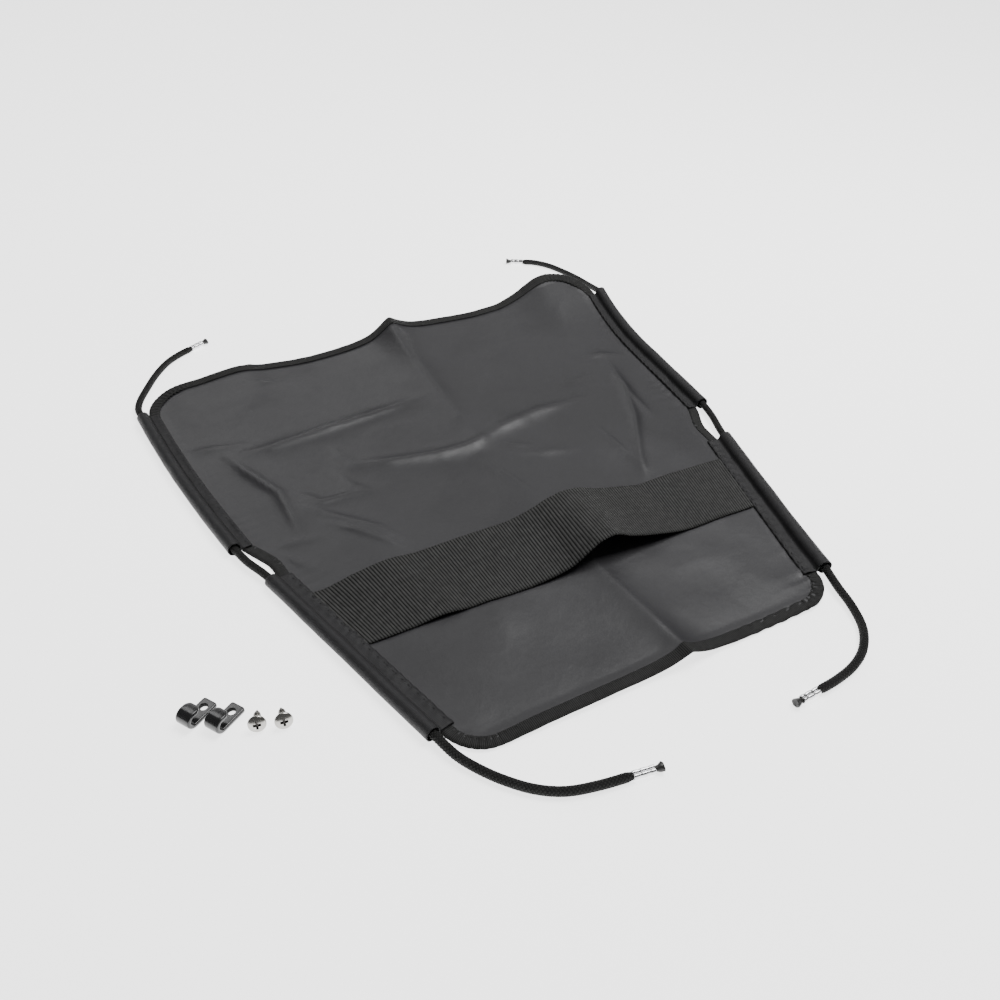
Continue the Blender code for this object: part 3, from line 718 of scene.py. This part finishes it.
# Painted shade: near-black colour on the walls of the hooks' screw holes.
BORE_SHADE = plain_finish("painted_shade_bore", (0.0015, 0.0015, 0.0015), (0.003, 0.003, 0.003), 0.80, 0.95)
MELTED_END = plain_finish("melted_fibre", (0.006, 0.006, 0.006), (0.018, 0.018, 0.017), 0.30, 0.55,
                          bump=(1500.0, 0.0003))
THREAD = plain_finish("sewing_thread", (0.005, 0.005, 0.005), (0.018, 0.018, 0.017), 0.55, 0.75)


# ---- the stage: camera, light and floor ----

def add_camera():
    """The camera stands at the narrow end and looks down over the screen."""
    camera = bpy.data.objects.new("camera", bpy.data.cameras.new("camera"))
    bpy.context.scene.collection.objects.link(camera)
    camera.data.sensor_width = 36.0
    camera.data.lens = 32.4
    camera.data.clip_start = 0.01
    camera.location = (-0.27805, -0.432, 0.452)
    camera.rotation_euler = (math.radians(51.6), 0, math.radians(-27.856))
    bpy.context.scene.camera = camera


def add_light(name, place, aim, size, watts):
    lamp = bpy.data.lights.new(name, "AREA")
    lamp.shape = "RECTANGLE"
    lamp.size, lamp.size_y = size
    lamp.energy = watts
    holder = bpy.data.objects.new(name, lamp)
    bpy.context.scene.collection.objects.link(holder)
    holder.location = place
    holder.rotation_euler = (Vector(aim) - Vector(place)).to_track_quat("-Z", "Y").to_euler()


def add_stage():
    material = bpy.data.materials.new("pale_floor")
    material.use_nodes = True
    tree = material.node_tree
    shader = tree.nodes["Principled BSDF"]
    place = tree.nodes.new("ShaderNodeTexCoord").outputs["Object"]
    colour = blend_colours(tree, noise_node(tree, place, 1.5), (0.93, 0.93, 0.93), (0.95, 0.95, 0.95))
    tree.links.new(colour, shader.inputs["Base Color"])
    shader.inputs["Roughness"].default_value = 0.9
    shader.inputs["Emission Color"].default_value = (1, 1, 1, 1)
    shader.inputs["Emission Strength"].default_value = 2.3
    form = bmesh.new()
    bmesh.ops.create_grid(form, x_segments=1, y_segments=1, size=6.0)
    floor = finish_mesh("floor", form, material)
    floor.location = (0, 0, -0.0001)
    world = bpy.data.worlds.new("studio")
    bpy.context.scene.world = world
    world.use_nodes = True
    background = world.node_tree.nodes["Background"]
    background.inputs["Color"].default_value = (1, 1, 1, 1)
    background.inputs["Strength"].default_value = 0.16
    add_light("softbox_overhead", (0.60, 0.10, 1.45), (0.0, 0.1, 0.0), (0.9, 0.9), 25)
    add_light("softbox_right", (1.3, 1.9, 1.3), (0.1, 0.1, 0.0), (1.6, 1.0), 4)
    add_light("softbox_back", (0.10, 2.6, 1.4), (0.0, 0.2, 0.0), (1.4, 0.7), 6)
    add_light("softbox_small", (-0.28, 1.3, 1.5), (-0.28, 0.0, 0.0), (0.5, 0.5), 3)


add_camera()
add_stage()


# ---- the cords ----

def braid(angle, distance):
    """The relief of a braid: two sets of strands that pass over and under each other."""
    first = BRAID_STRANDS * (angle / (2 * math.pi) + distance / BRAID_LAY)
    second = BRAID_STRANDS * (angle / (2 * math.pi) - distance / BRAID_LAY)
    over = math.sin(math.pi * first) * math.sin(math.pi * second)
    crown = abs(math.sin(math.pi * (first if over > 0 else second)))
    return crown * (0.6 + 0.4 * abs(over))


def make_cord(name, path, grain, around, pinch_far=False):
    """A braided cord along a path; its far end is pinched where a ferrule grips it.

    grain is the mesh's step along the cord, and around its faces round the cord.
    """
    frames = tube_frames(path)
    length = path_length(path)

    def place(u, v):
        point, sideways, up = between(frames, u)
        angle = 2 * math.pi * v
        radius = CORD_RADIUS - BRAID_RELIEF * (1 - braid(angle, u * length))
        if pinch_far:
            radius *= 1 - 0.22 * ramp(length - 0.004, length, u * length)
        return point + (sideways * math.cos(angle) + up * math.sin(angle)) * radius

    form = patterned_grid(round(length / grain), around, length, 2 * math.pi * CORD_RADIUS, place)
    close_tube(form)
    return finish_mesh(name, form, CORD_JACKET, 80)


def sleeve_line(row, side_name):
    """The axis of a sleeve's tube on the flat pattern, from its lower to its upper mouth."""
    side = SIDES[side_name]
    start, end = (Vector(p) for p in (UPPER_SLEEVE if row == "upper" else LOWER_SLEEVE))
    if row == "lower":
        end += (end - start).normalized() * LOWER_SLEEVE_TRIM[side_name]
    return Vector((side * start.x, start.y)), Vector((side * end.x, end.y))


def upright(point, z):
    return Vector((point[0], point[1], z))


def loose_path(label, row, side_name):
    """From the sleeve's mouth down on to the ground and round to the ferrule."""
    start, end = sleeve_line(row, side_name)
    mouth = end if row == "upper" else start
    route = [lay(upright(mouth, TUBE_Z))]
    lifted = max(0.0, route[0].z - TUBE_Z)
    lows = [FLOOR_CORD_Z + MOUTH_CLEARANCE] + [FLOOR_CORD_Z] * (len(LOOSE_LIFT) - 1)
    for point, low, share in zip(LOOSE_ROUTES[label], lows, LOOSE_LIFT):
        route.append(upright(point, low + lifted * share))
    return even_path(route, 0.005)


def make_ferrule(name, where, direction):
    """A strip crimped round the cord's end: its edges curl in and meet along the top."""
    sideways = direction.cross(Vector((0, 0, 1))).normalized()
    up = sideways.cross(direction)
    wall = 0.0005

    def place(u, v):
        from_seam = min(v, 1 - v) * 2 * math.pi
        angle = math.pi / 2 + 2 * math.pi * v
        squeeze = 0.10 * math.exp(-((u - 0.30) / 0.07) ** 2) + 0.10 * math.exp(-((u - 0.72) / 0.07) ** 2)
        radius = FERRULE_RADIUS * (1 - 0.42 * math.exp(-(from_seam / 0.42) ** 2)) * (1 - squeeze)
        along = 0.0003 + u * FERRULE_LENGTH
        return where + direction * along + (sideways * math.cos(angle) + up * math.sin(angle)) * radius

    form = patterned_grid(28, 40, FERRULE_LENGTH, 2 * math.pi * FERRULE_RADIUS, place)
    bmesh.ops.recalc_face_normals(form, faces=form.faces)
    piece = finish_mesh(name, form, BRIGHT_STEEL, 60)
    return thicken(piece, wall, -1.0 if outward(piece) else 1.0)


def outward(piece):
    """Whether an open tube's faces point away from its middle line."""
    mesh = piece.data
    middle = sum((v.co for v in mesh.vertices), Vector()) / len(mesh.vertices)
    return sum(p.normal.dot(p.center - middle) for p in mesh.polygons) > 0


def make_melted_end(name, where, direction):
    """The pinched cord inside the ferrule and its melted, trumpet-shaped end."""
    end = FERRULE_LENGTH + 0.0006
    profile = [(0.0, end + 0.0044), (0.0011, end + 0.0047), (0.0022, end + 0.0055),
               (0.0030, end + 0.0053), (0.0031, end + 0.0045), (0.0024, end + 0.0026),
               (0.0018, end + 0.0008), (0.0016, end - 0.0010), (0.0016, 0.0006), (0.0, 0.0006)]
    form = turned(profile, 28)
    for vert in form.verts:
        lumpy = noise.noise(vert.co * 700 + where * 100) * ramp(end, end + 0.004, vert.co.z)
        vert.co.x *= 1 + 0.28 * lumpy
        vert.co.y *= 1 + 0.28 * lumpy
    sideways = direction.cross(Vector((0, 0, 1))).normalized()
    turn = Matrix((sideways, sideways.cross(direction), direction)).transposed().to_4x4()
    turn.translation = where
    bmesh.ops.transform(form, matrix=turn, verts=form.verts)
    for vert in form.verts:
        vert.co.z = max(LOWEST, vert.co.z)
    bmesh.ops.recalc_face_normals(form, faces=form.faces)
    return finish_mesh(name, form, MELTED_END, 50)


def add_loose_end(side_name, row):
    end = "top" if row == "upper" else "bottom"
    label = f"{side_name}_{end}"
    body = f"{row}_screen"
    path = loose_path(label, row, side_name)
    cord = make_cord(f"cord_end_{label}", path, 0.0005, 54, pinch_far=True)
    direction = (path[-1] - path[-2]).normalized()
    ferrule = make_ferrule(f"crimped_ferrule_{label}", path[-1], direction)
    tip = make_melted_end(f"melted_end_{label}", path[-1], direction)
    for piece, node, slot in ((cord, f"cord_{label}_end", "cord"), (ferrule, f"ferrule_{label}", "ferrule"),
                              (tip, f"cord_tip_{label}", "cord")):
        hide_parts(node)
        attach(piece, body)
    tuple(path[0])
    round(path_length(path), 3)


def add_held_cord(side_name):
    """The cord's middle, held by both sleeves of a side and bare between them."""
    lower_start, lower_end = sleeve_line("lower", side_name)
    upper_start, upper_end = sleeve_line("upper", side_name)
    inset = 0.0004
    run = [lower_start.lerp(lower_end, share) for share in (inset, 0.5, 1)]
    run += [upper_start.lerp(upper_end, share) for share in (0, 0.5, 1 - inset)]
    path = [lay(point) for point in even_path([upright(p, TUBE_Z) for p in run], 0.004)]
    cord = make_cord(f"cord_{side_name}_held", path, 0.0008, 32)
    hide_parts(f"cord_{side_name}_upper", f"cord_{side_name}_lower")
    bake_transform(cord)


for side_name in SIDES:
    add_loose_end(side_name, "upper")
    add_loose_end(side_name, "lower")
    add_held_cord(side_name)


# ---- the panel and its binding ----

def across_fold(piece, *nodes):
    """A cloth piece that lies across the fold between the upper and the lower screen: hides the parts it
    replaces and keeps it fixed in place, in neither screen's body.
    """
    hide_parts(*nodes)
    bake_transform(piece)


def panel_area():
    """The panel's flat area, summed in strips from the bottom edge to the top edge."""
    strips = 400
    step = (TOP_Y - BOTTOM_Y) / strips
    return sum(2 * half_width(BOTTOM_Y + (i + 0.5) * step) * step for i in range(strips))


def add_panel():
    """The panel's one sheet; its rim is lifted to lie inside the folded tape."""
    height = TOP_Y - BOTTOM_Y
    rim_lift, rim_start, rim_end = 0.0008, 0.009, 0.013

    def place(u, v):
        y = BOTTOM_Y + v * height
        edge = half_width(y)
        x = (2 * u - 1) * edge
        gap = min(edge - abs(x), TOP_Y - y, y - BOTTOM_Y)
        lift = rim_lift * (1 - ramp(rim_start, rim_end, gap))
        point = lay(Vector((x, y, LOWEST + lift)))
        point.z = max(LOWEST, point.z + pucker(x, y))
        return point

    form = patterned_grid(186, 196, 2 * half_width(TOP_Y - TOP_RADIUS), height, place)
    face_up(form)
    panel = finish_mesh("panel_cloth", form, PANEL_CLOTH, 60)
    thicken(panel, PANEL_THICKNESS, 1.0)
    across_fold(panel, "panel_upper", "panel_lower")
    return panel


def outline_path(spacing):
    """The panel's whole edge on the flat pattern, anticlockwise, as evenly spaced points."""
    right = [upright(p, 0) for p in RIGHT_EDGE]
    left = [Vector((-p.x, p.y, 0)) for p in reversed(right)]
    loop = right + left
    return resampled(loop + [loop[0]], spacing)


def tape_spread(y):
    """How much further the tape reaches in along the top edge, where its fold is off centre."""
    return 1 + 0.38 * ramp(TOP_Y - 0.050, TOP_Y - 0.012, y)


def tape_section(v):
    """Across the tape: the distance out from the panel's edge, and the height."""
    inner, outer, top = -TAPE_INNER, TAPE_OUTER, TAPE_HEIGHT
    half = top / 2
    depth = half * 0.9
    share = min(v, 1 - v) / TAPE_FLAT
    if share < 1:
        slope = 0.15 * half * (1 - share)
        return inner + (outer - depth - inner) * share, 0.0001 + slope if v < 0.5 else top - slope
    angle = math.pi * (v - 0.5) / (1 - 2 * TAPE_FLAT)
    return outer - depth + depth * math.cos(angle), half + half * math.sin(angle) * 0.98


def add_binding():
    """The tape round the panel's edge: ribbed, gathered at the corners and lapped at its ends."""
    path = outline_path(0.0025)
    length = path_length(path)
    count = len(path) - 1
    frames, turning = [], []
    for i in range(count + 1):
        ahead = (path[(i + 1) % count] - path[(i - 1) % count]).normalized()
        frames.append((path[i], Vector((ahead.y, -ahead.x, 0))))
        before = (path[i % count] - path[(i - 4) % count]).normalized()
        after = (path[(i + 4) % count] - path[i % count]).normalized()
        turning.append(min(1.0, before.angle(after) / 0.22))

    def place(u, v):
        at = (u % 1.0) * count
        i = min(int(at), count - 1)
        t = at - i
        point = frames[i][0].lerp(frames[i + 1][0], t)
        out = frames[i][1].lerp(frames[i + 1][1], t)
        distance = u % 1.0 * length
        off, z = tape_section(v)
        if off < 0:
            off *= tape_spread(point.y)
        rib = abs(math.sin(math.pi * distance / TAPE_RIB))
        inner = ramp(-0.002, -TAPE_INNER, off)
        pleat = turning[i] * math.sin(2 * math.pi * distance / 0.0052)
        wander = noise.noise(Vector((point.x * 90, point.y * 90, 2.0)))
        low_edge = ramp(0.0, 0.02, BOTTOM_Y + 0.03 - point.y)
        lap = low_edge * math.exp(-((point.x - LAP_X) / 0.0042) ** 2)
        waves = math.sin(2 * math.pi * (distance + 1.3 * off) / 0.0115)
        waves *= low_edge * ramp(0.045, 0.080, point.x)
        knot = ramp(TOP_Y - 0.02, TOP_Y, point.y) * math.exp(-((point.x - NICK_X) / 0.0035) ** 2)
        if v > TAPE_FLAT:
            z += 0.00012 * rib + (0.00045 * pleat + 0.00020 * wander) * (0.35 + 0.65 * inner)
            z += 0.0008 * lap + 0.0004 * waves
            z -= 0.00060 * math.exp(-((off + TAPE_SEAM * tape_spread(point.y)) / 0.0007) ** 2)
        off += (0.00010 * rib + 0.00035 * wander + 0.0013 * knot) * (1 - inner) + 0.0004 * pleat * inner
        off += 0.0007 * lap * (1 - 2 * inner)
        return lay(point + out * off + Vector((0, 0, z)))

    form = patterned_grid(round(length / TAPE_RIB * 3), 10, length, TAPE_WRAP, place)
    bmesh.ops.remove_doubles(form, verts=form.verts, dist=1e-7)
    bmesh.ops.recalc_face_normals(form, faces=form.faces)
    tape = finish_mesh("edge_binding", form, TAPE_CLOTH, 70)
    thicken(tape, TAPE_WALL, -1.0)
    across_fold(tape, "binding_upper", "binding_lower")
    return tape


panel = add_panel()
binding = add_binding()
2 * half_width(TOP_Y - TOP_RADIUS)
panel_area()


# ---- the sleeves ----

def flange_dip(off):
    """How much lower a sleeve's flange lies towards its stitched edge."""
    return FLANGE_DIP * ramp(FLANGE_DIP_START, FLANGE_DIP_END, off)


def sleeve_section(reach, side):
    """Across a sleeve's folded strip: flange top, round the tube, and flange underside.

    The left sleeves are stitched tight against the cord; on the right the cloth slopes up to it.
    """
    steps = 8
    offs = [reach + (TUBE_SEAM - reach) * i / steps for i in range(steps + 1)]
    top = [(off, FLANGE_Z - flange_dip(off)) for off in offs]
    if side < 0:
        top += [(0.0061, 0.00342), (0.0057, 0.00308), (0.0053, 0.00282)]
        start = math.radians(-24)
    else:
        top += [(0.0060, 0.00400), (0.0055, 0.00490), (0.0051, 0.00600)]
        start = math.radians(16)
    end = math.radians(326)
    rounds = 30
    angles = [start + (end - start) * i / rounds for i in range(rounds + 1)]
    ring = [(TUBE_RADIUS * math.cos(a), TUBE_Z + TUBE_RADIUS * math.sin(a)) for a in angles]
    under = [(off, min(z, FLANGE_Z) - FLANGE_THICKNESS) for off, z in reversed(top)]
    return top + ring + under


def add_sleeve(row, side_name):
    """One sleeve; returns its start, direction, inward normal, length and the flange's reach."""
    side = SIDES[side_name]
    reach = FLANGE_REACH[row]
    start, end = sleeve_line(row, side_name)
    along = (end - start).normalized()
    inward = Vector((-along.y, along.x)) if side > 0 else Vector((along.y, -along.x))
    length = (end - start).length
    section = sleeve_section(reach, side)

    def place(u, v):
        off, z = section[round(v * (len(section) - 1))]
        distance = u * length
        wander = noise.noise(Vector((distance * 70, off * 220 + 7 * side, 5.0 + z * 160)))
        slow = noise.noise(Vector((distance * 22, off * 90, 9.0 + side)))
        tuck = math.sin(2 * math.pi * distance / 0.0085 + 3 * slow)
        on_flange = ramp(TUBE_RIM, TUBE_RIM + 0.002, off)
        if on_flange > 0:
            z += on_flange * (0.00055 * wander + 0.00040 * tuck * ramp(0.008, 0.0135, off))
        swell = 1 + (1 - on_flange) * (0.035 * wander + 0.045 * slow)
        point = start + along * distance + inward * off * swell
        rise = TUBE_Z + (z - TUBE_Z) * swell if off < TUBE_RIM else z
        return lay(Vector((point.x, point.y, max(SLEEVE_LOWEST, rise))))

    form = patterned_grid(round(length / 0.0011), len(section) - 1, length, SLEEVE_WRAP, place)
    bmesh.ops.recalc_face_normals(form, faces=form.faces)
    sleeve = finish_mesh(f"cord_sleeve_{row}_{side_name}", form, SLEEVE_CLOTH, 75)
    thicken(sleeve, SLEEVE_WALL, 0.0)
    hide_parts(f"sleeve_{row}_{side_name}")
    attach(sleeve, f"{row}_screen")
    return start, along, inward, length, reach


def stitch_row(name, route, body):
    """A row of stitches along a route on the cloth: small thread beads, sunk a little."""
    points = resampled(route, STITCH_PITCH)
    form = bmesh.new()
    for a, b in zip(points, points[1:]):
        run = (b - a).normalized()
        sideways = run.cross(Vector((0, 0, 1))).normalized()
        turn = Matrix((run, sideways, run.cross(sideways))).transposed().to_4x4()
        turn.translation = (a + b) / 2
        bead = bmesh.ops.create_icosphere(form, subdivisions=1, radius=1.0)["verts"]
        bmesh.ops.scale(form, vec=STITCH_BEAD, verts=bead)
        bmesh.ops.transform(form, matrix=turn, verts=bead)
    stitches = finish_mesh(name, form, THREAD, 80)
    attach(stitches, body)


for row in ("upper", "lower"):
    for side_name in SIDES:
        start, along, inward, length, reach = add_sleeve(row, side_name)
        for label, off in (("edge", reach - 0.0022), ("tube", TUBE_SEAM)):
            flat = [start + along * (0.002 + (length - 0.004) * i / 60) + inward * off for i in range(61)]
            route = [lay(upright(p, 0.00382 - flange_dip(off))) for p in flat]
            stitch_row(f"stitches_{row}_{side_name}_{label}", route, f"{row}_screen")


def tape_stitches():
    """The tape's stitching where it shows: along the top and bottom edges."""
    loop = outline_path(0.0020)
    for name, body, shows in (("stitches_top_edge", "upper_screen", lambda p: p.y > 0.322),
                              ("stitches_bottom_edge", "lower_screen", lambda p: p.y < -0.118)):
        chosen = [i for i, p in enumerate(loop[:-1]) if shows(p)]
        route = []
        if name == "stitches_bottom_edge":
            half = len(loop) // 2
            chosen = [i for i in chosen if i > half] + [i for i in chosen if i <= half]
        for i in chosen:
            ahead = (loop[(i + 1) % (len(loop) - 1)] - loop[i - 1 if i else -2]).normalized()
            out = Vector((ahead.y, -ahead.x, 0))
            inset = TAPE_SEAM * tape_spread(loop[i].y)
            route.append(lay(loop[i] - out * inset + Vector((0, 0, TAPE_HEIGHT - 0.0003))))
        stitch_row(name, route, body)


tape_stitches()


# ---- the strap ----

def strap_height(x, across):
    """How high the strap's underside bows at x; across runs from -1 to 1, upper edge last."""
    low, high = along_table(STRAP_LOWER_RISE, x), along_table(STRAP_UPPER_RISE, x)
    return low + (high - low) * (across + 1) / 2


def add_strap():
    """The ribbed strap, sewn down at both ends and bowed between them."""
    start, direction, inward = sleeve_frame(LOWER_SLEEVE)
    end = start + inward * STRAP_TUCK
    slant = direction.x / direction.y
    length = 2 * end.x

    def place(u, v):
        across = 2 * v - 1
        left = max(0.0, 1 - 2 * u)
        y = across * STRAP_WIDTH / 2 + left * STRAP_LEFT_RISE
        x = (2 * u - 1) * (end.x + slant * (y - end.y))
        rib = abs(math.sin(math.pi * u * length / STRAP_RIB))
        edge = ramp(0.90, 1.0, abs(across))
        wander = noise.noise(Vector((x * 40, y * 25, 4.0)))
        y += across * 0.0003 * rib * edge
        point = lay(Vector((x, y, PANEL_THICKNESS + 0.0006)))
        point.z = max(point.z, strap_height(x, across) + 0.0003 * wander)
        point.z += 0.00055 * rib * (1 - 0.5 * edge)
        return point

    form = patterned_grid(round(length / STRAP_RIB * 6), 24, length, STRAP_WIDTH, place)
    face_up(form)
    strap = finish_mesh("webbing_strap", form, WEBBING, 80)
    thicken(strap, STRAP_THICKNESS - 0.0005, 1.0)
    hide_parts("strap")
    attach(strap, "lower_screen")


add_strap()


# ---- the hooks and the screws ----

def carve(piece, cutter):
    """Cuts one object out of another and keeps the result as plain mesh."""
    cutting = piece.modifiers.new("cut", "BOOLEAN")
    cutting.operation = "DIFFERENCE"
    cutting.solver = "EXACT"
    cutting.object = cutter
    bpy.context.view_layer.update()
    mesh = bpy.data.meshes.new_from_object(piece.evaluated_get(bpy.context.evaluated_depsgraph_get()))
    piece.modifiers.remove(cutting)
    piece.data = mesh
    bpy.data.objects.remove(cutter, do_unlink=True)


def settle(piece, matrix):
    """Puts a piece in place in its mesh, with its object at the origin."""
    piece.data.transform(matrix)
    piece.data.update()


def hook_line():
    """Down the middle of the hook's strip, from its short leg's end to its long leg's end.

    Each station is the point's x and z and its unit normal's x and z.
    """
    radius = (HOOK_HEIGHT - HOOK_STRIP) / 2
    middle = HOOK_HEIGHT / 2
    stations = []
    near_end = [0.0, 0.0001, 0.0003, 0.0006, 0.0010, 0.0015, 0.0021, 0.0028]
    short = near_end + [HOOK_SHORT_LEG * t for t in (0.55, 0.65, 0.75, 0.85, 0.92)]
    for distance in short:
        x = HOOK_SHORT_LEG - distance
        slope = -2 * HOOK_DROOP * x / HOOK_SHORT_LEG ** 2
        size = math.hypot(1, slope)
        z = middle + radius - HOOK_DROOP * (x / HOOK_SHORT_LEG) ** 2
        stations.append((x, z, -slope / size, 1 / size))
    for i in range(25):
        angle = math.pi / 2 + math.pi * i / 24
        out_x, out_z = math.cos(angle), math.sin(angle)
        stations.append((radius * out_x, middle + radius * out_z, out_x, out_z))
    stations += [(HOOK_LONG_LEG * t, middle - radius, 0, -1) for t in (0.1, 0.25, 0.4, 0.55, 0.7, 0.8)]
    stations += [(HOOK_LONG_LEG - d, middle - radius, 0, -1) for d in reversed(near_end)]
    return stations


def hook_section(from_end, corner):
    """Round the strip's rounded section, drawn in near the strip's ends: (across, through) pairs."""
    easing = 0.0009
    half_wide, half_thick = HOOK_WIDTH / 2, HOOK_STRIP / 2
    if from_end < corner:
        half_wide -= corner - math.sqrt(corner ** 2 - (corner - from_end) ** 2)
    if from_end < easing:
        half_thick -= easing - math.sqrt(easing ** 2 - (easing - from_end) ** 2)
    edge = min(0.0011, half_thick - 0.0001)
    section = []
    for start, (side, face) in enumerate(((1, 1), (-1, 1), (-1, -1), (1, -1))):
        for i in range(7):
            angle = math.pi / 2 * (start + i / 6)
            section.append((side * (half_wide - edge) + edge * math.cos(angle),
                            face * (half_thick - edge) + edge * math.sin(angle)))
        if face * side > 0:
            section += [((1 - 2 * t) * side * (half_wide - edge), face * half_thick)
                        for t in (0.25, 0.5, 0.75)]
    return section


def screw_hole_drill():
    """A turned cutter that leaves the hole with rounded rims."""
    rim, radius = 0.0003, HOOK_HOLE_RADIUS
    half = []
    for i in range(7):
        angle = math.pi / 2 * i / 6
        half.append((radius + rim * (1 - math.cos(angle)), HOOK_STRIP / 2 - rim * (1 - math.sin(angle))))
    outer = [(half[-1][0] + 0.0004, HOOK_STRIP / 2 + 0.0006), (0.0, HOOK_STRIP / 2 + 0.0006)]
    upper = half + outer
    profile = [(r, -z) for r, z in reversed(upper)] + upper
    form = turned(profile, 48)
    bmesh.ops.translate(form, vec=(HOOK_HOLE_X, 0, HOOK_STRIP / 2), verts=form.verts)
    return form


def add_hook(number, place_at):
    """A J-hook: a flat strip bent back over itself, with a screw hole through its long leg."""
    stations = hook_line()
    gone = [0.0]
    for a, b in zip(stations, stations[1:]):
        gone.append(gone[-1] + math.hypot(b[0] - a[0], b[1] - a[1]))
    sections = [hook_section(distance, HOOK_SHORT_CORNER) if distance < gone[-1] / 2
                else hook_section(gone[-1] - distance, HOOK_LONG_CORNER) for distance in gone]
    around = len(sections[0])

    def place(u, v):
        i = round(u * (len(stations) - 1))
        x, z, normal_x, normal_z = stations[i]
        across, through = sections[i][round(v * around) % around]
        return Vector((x + normal_x * through, across, z + normal_z * through))

    form = patterned_grid(len(stations) - 1, around, gone[-1], 2 * HOOK_WIDTH, place)
    close_tube(form)
    hook = finish_mesh(f"cord_hook_{number}", form, BLACK_ENAMEL, 50)
    hook.data.materials.append(BORE_SHADE)
    drill = finish_mesh("drill", screw_hole_drill(), BLACK_ENAMEL)
    # The drill's faces give the hole's walls BORE_SHADE, a painted shade.
    drill.data.materials.append(BORE_SHADE)
    for face in drill.data.polygons:
        face.material_index = 1
    carve(hook, drill)
    settle(hook, Matrix.Translation((*place_at, 0.0)) @ Matrix.Rotation(HOOK_HEADING, 4, "Z"))
    hook.data.shade_smooth()
    hook.data.set_sharp_from_angle(angle=math.radians(50))
    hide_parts(f"hook_{number}")
    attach(hook, f"hook_{number}")


def screw_shank():
    """A thread wound as one helix round the shank, drawn in to a point."""
    root, crest, pitch, length, point = 0.0018, 0.0024, 0.0016, 0.0159, 0.0075
    turns = 9
    steps = 24
    form = bmesh.new()
    profile = [(root, 0.0), (root, -0.30 * pitch), (crest, -0.48 * pitch), (crest, -0.58 * pitch),
               (root, -0.76 * pitch), (root, -pitch)]
    verts = [form.verts.new((radius, 0, z)) for radius, z in profile]
    edges = [form.edges.new(pair) for pair in zip(verts, verts[1:])]
    bmesh.ops.spin(form, geom=verts + edges, cent=(0, 0, 0), axis=(0, 0, 1), dvec=(0, 0, -pitch / steps),
                   angle=2 * math.pi * turns, steps=steps * turns, use_merge=False)
    bmesh.ops.remove_doubles(form, verts=form.verts, dist=2e-6)
    for vert in form.verts:
        thin = 1 - ramp(length - point, length + 0.001, -vert.co.z) * 0.93
        vert.co.x *= thin
        vert.co.y *= thin
    close_tube(form)
    return form


def add_screw(number, x, y, heading):
    """A cross-recess screw, lying with its head's rim and its point on the ground."""
    height = 0.0028
    dome = [(HEAD_RADIUS * math.sin(a), height * (0.25 + 0.75 * math.cos(a)))
            for a in (math.radians(6 * i) for i in range(16))]
    rim = [(HEAD_RADIUS, 0.0004), (HEAD_RADIUS - 0.0002, 0.0001), (HEAD_RADIUS - 0.0005, 0.0),
           (0.0022, 0.0), (0.0018, -0.0006), (0.0, -0.0006)]
    head = finish_mesh(f"screw_head_{number}", turned(dome + rim, 64), SCREW_STEEL, 35)
    head.data.materials.append(DARK_RECESS)
    for span_x, span_y in ((0.0070, 0.0021), (0.0021, 0.0070)):
        wing = bmesh.new()
        bmesh.ops.create_cube(wing, size=1.0)
        bmesh.ops.scale(wing, vec=(span_x, span_y, 0.0044), verts=wing.verts)
        for vert in wing.verts:
            if vert.co.z < 0:
                vert.co.x *= 0.50
                vert.co.y *= 0.70
        bmesh.ops.translate(wing, vec=(0, 0, height + 0.0002), verts=wing.verts)
        cutter = finish_mesh("recess", wing, SCREW_STEEL)
        cutter.data.materials.append(DARK_RECESS)
        for face in cutter.data.polygons:
            face.material_index = 1
        carve(head, cutter)
    shank = finish_mesh(f"screw_thread_{number}", screw_shank(), SCREW_STEEL, 35)
    facing = Vector((math.cos(heading) * math.cos(SCREW_TILT), math.sin(heading) * math.cos(SCREW_TILT),
                     math.sin(SCREW_TILT)))
    side = Vector((0, 0, 1)).cross(facing).normalized()
    turn = Matrix((side, facing.cross(side), facing)).transposed().to_4x4()
    turn.translation = (x, y, HEAD_RADIUS * math.cos(SCREW_TILT) + 0.0003)
    for piece in (head, shank):
        settle(piece, turn)
        piece.data.shade_smooth()
        piece.data.set_sharp_from_angle(angle=math.radians(35))
        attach(piece, f"screw_{number}")
    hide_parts(f"screw_{number}")


for number, place_at in enumerate(HOOK_PLACES, start=1):
    add_hook(number, place_at)
for number, (x, y, heading) in enumerate(SCREW_PLACES, start=1):
    add_screw(number, x, y, heading)
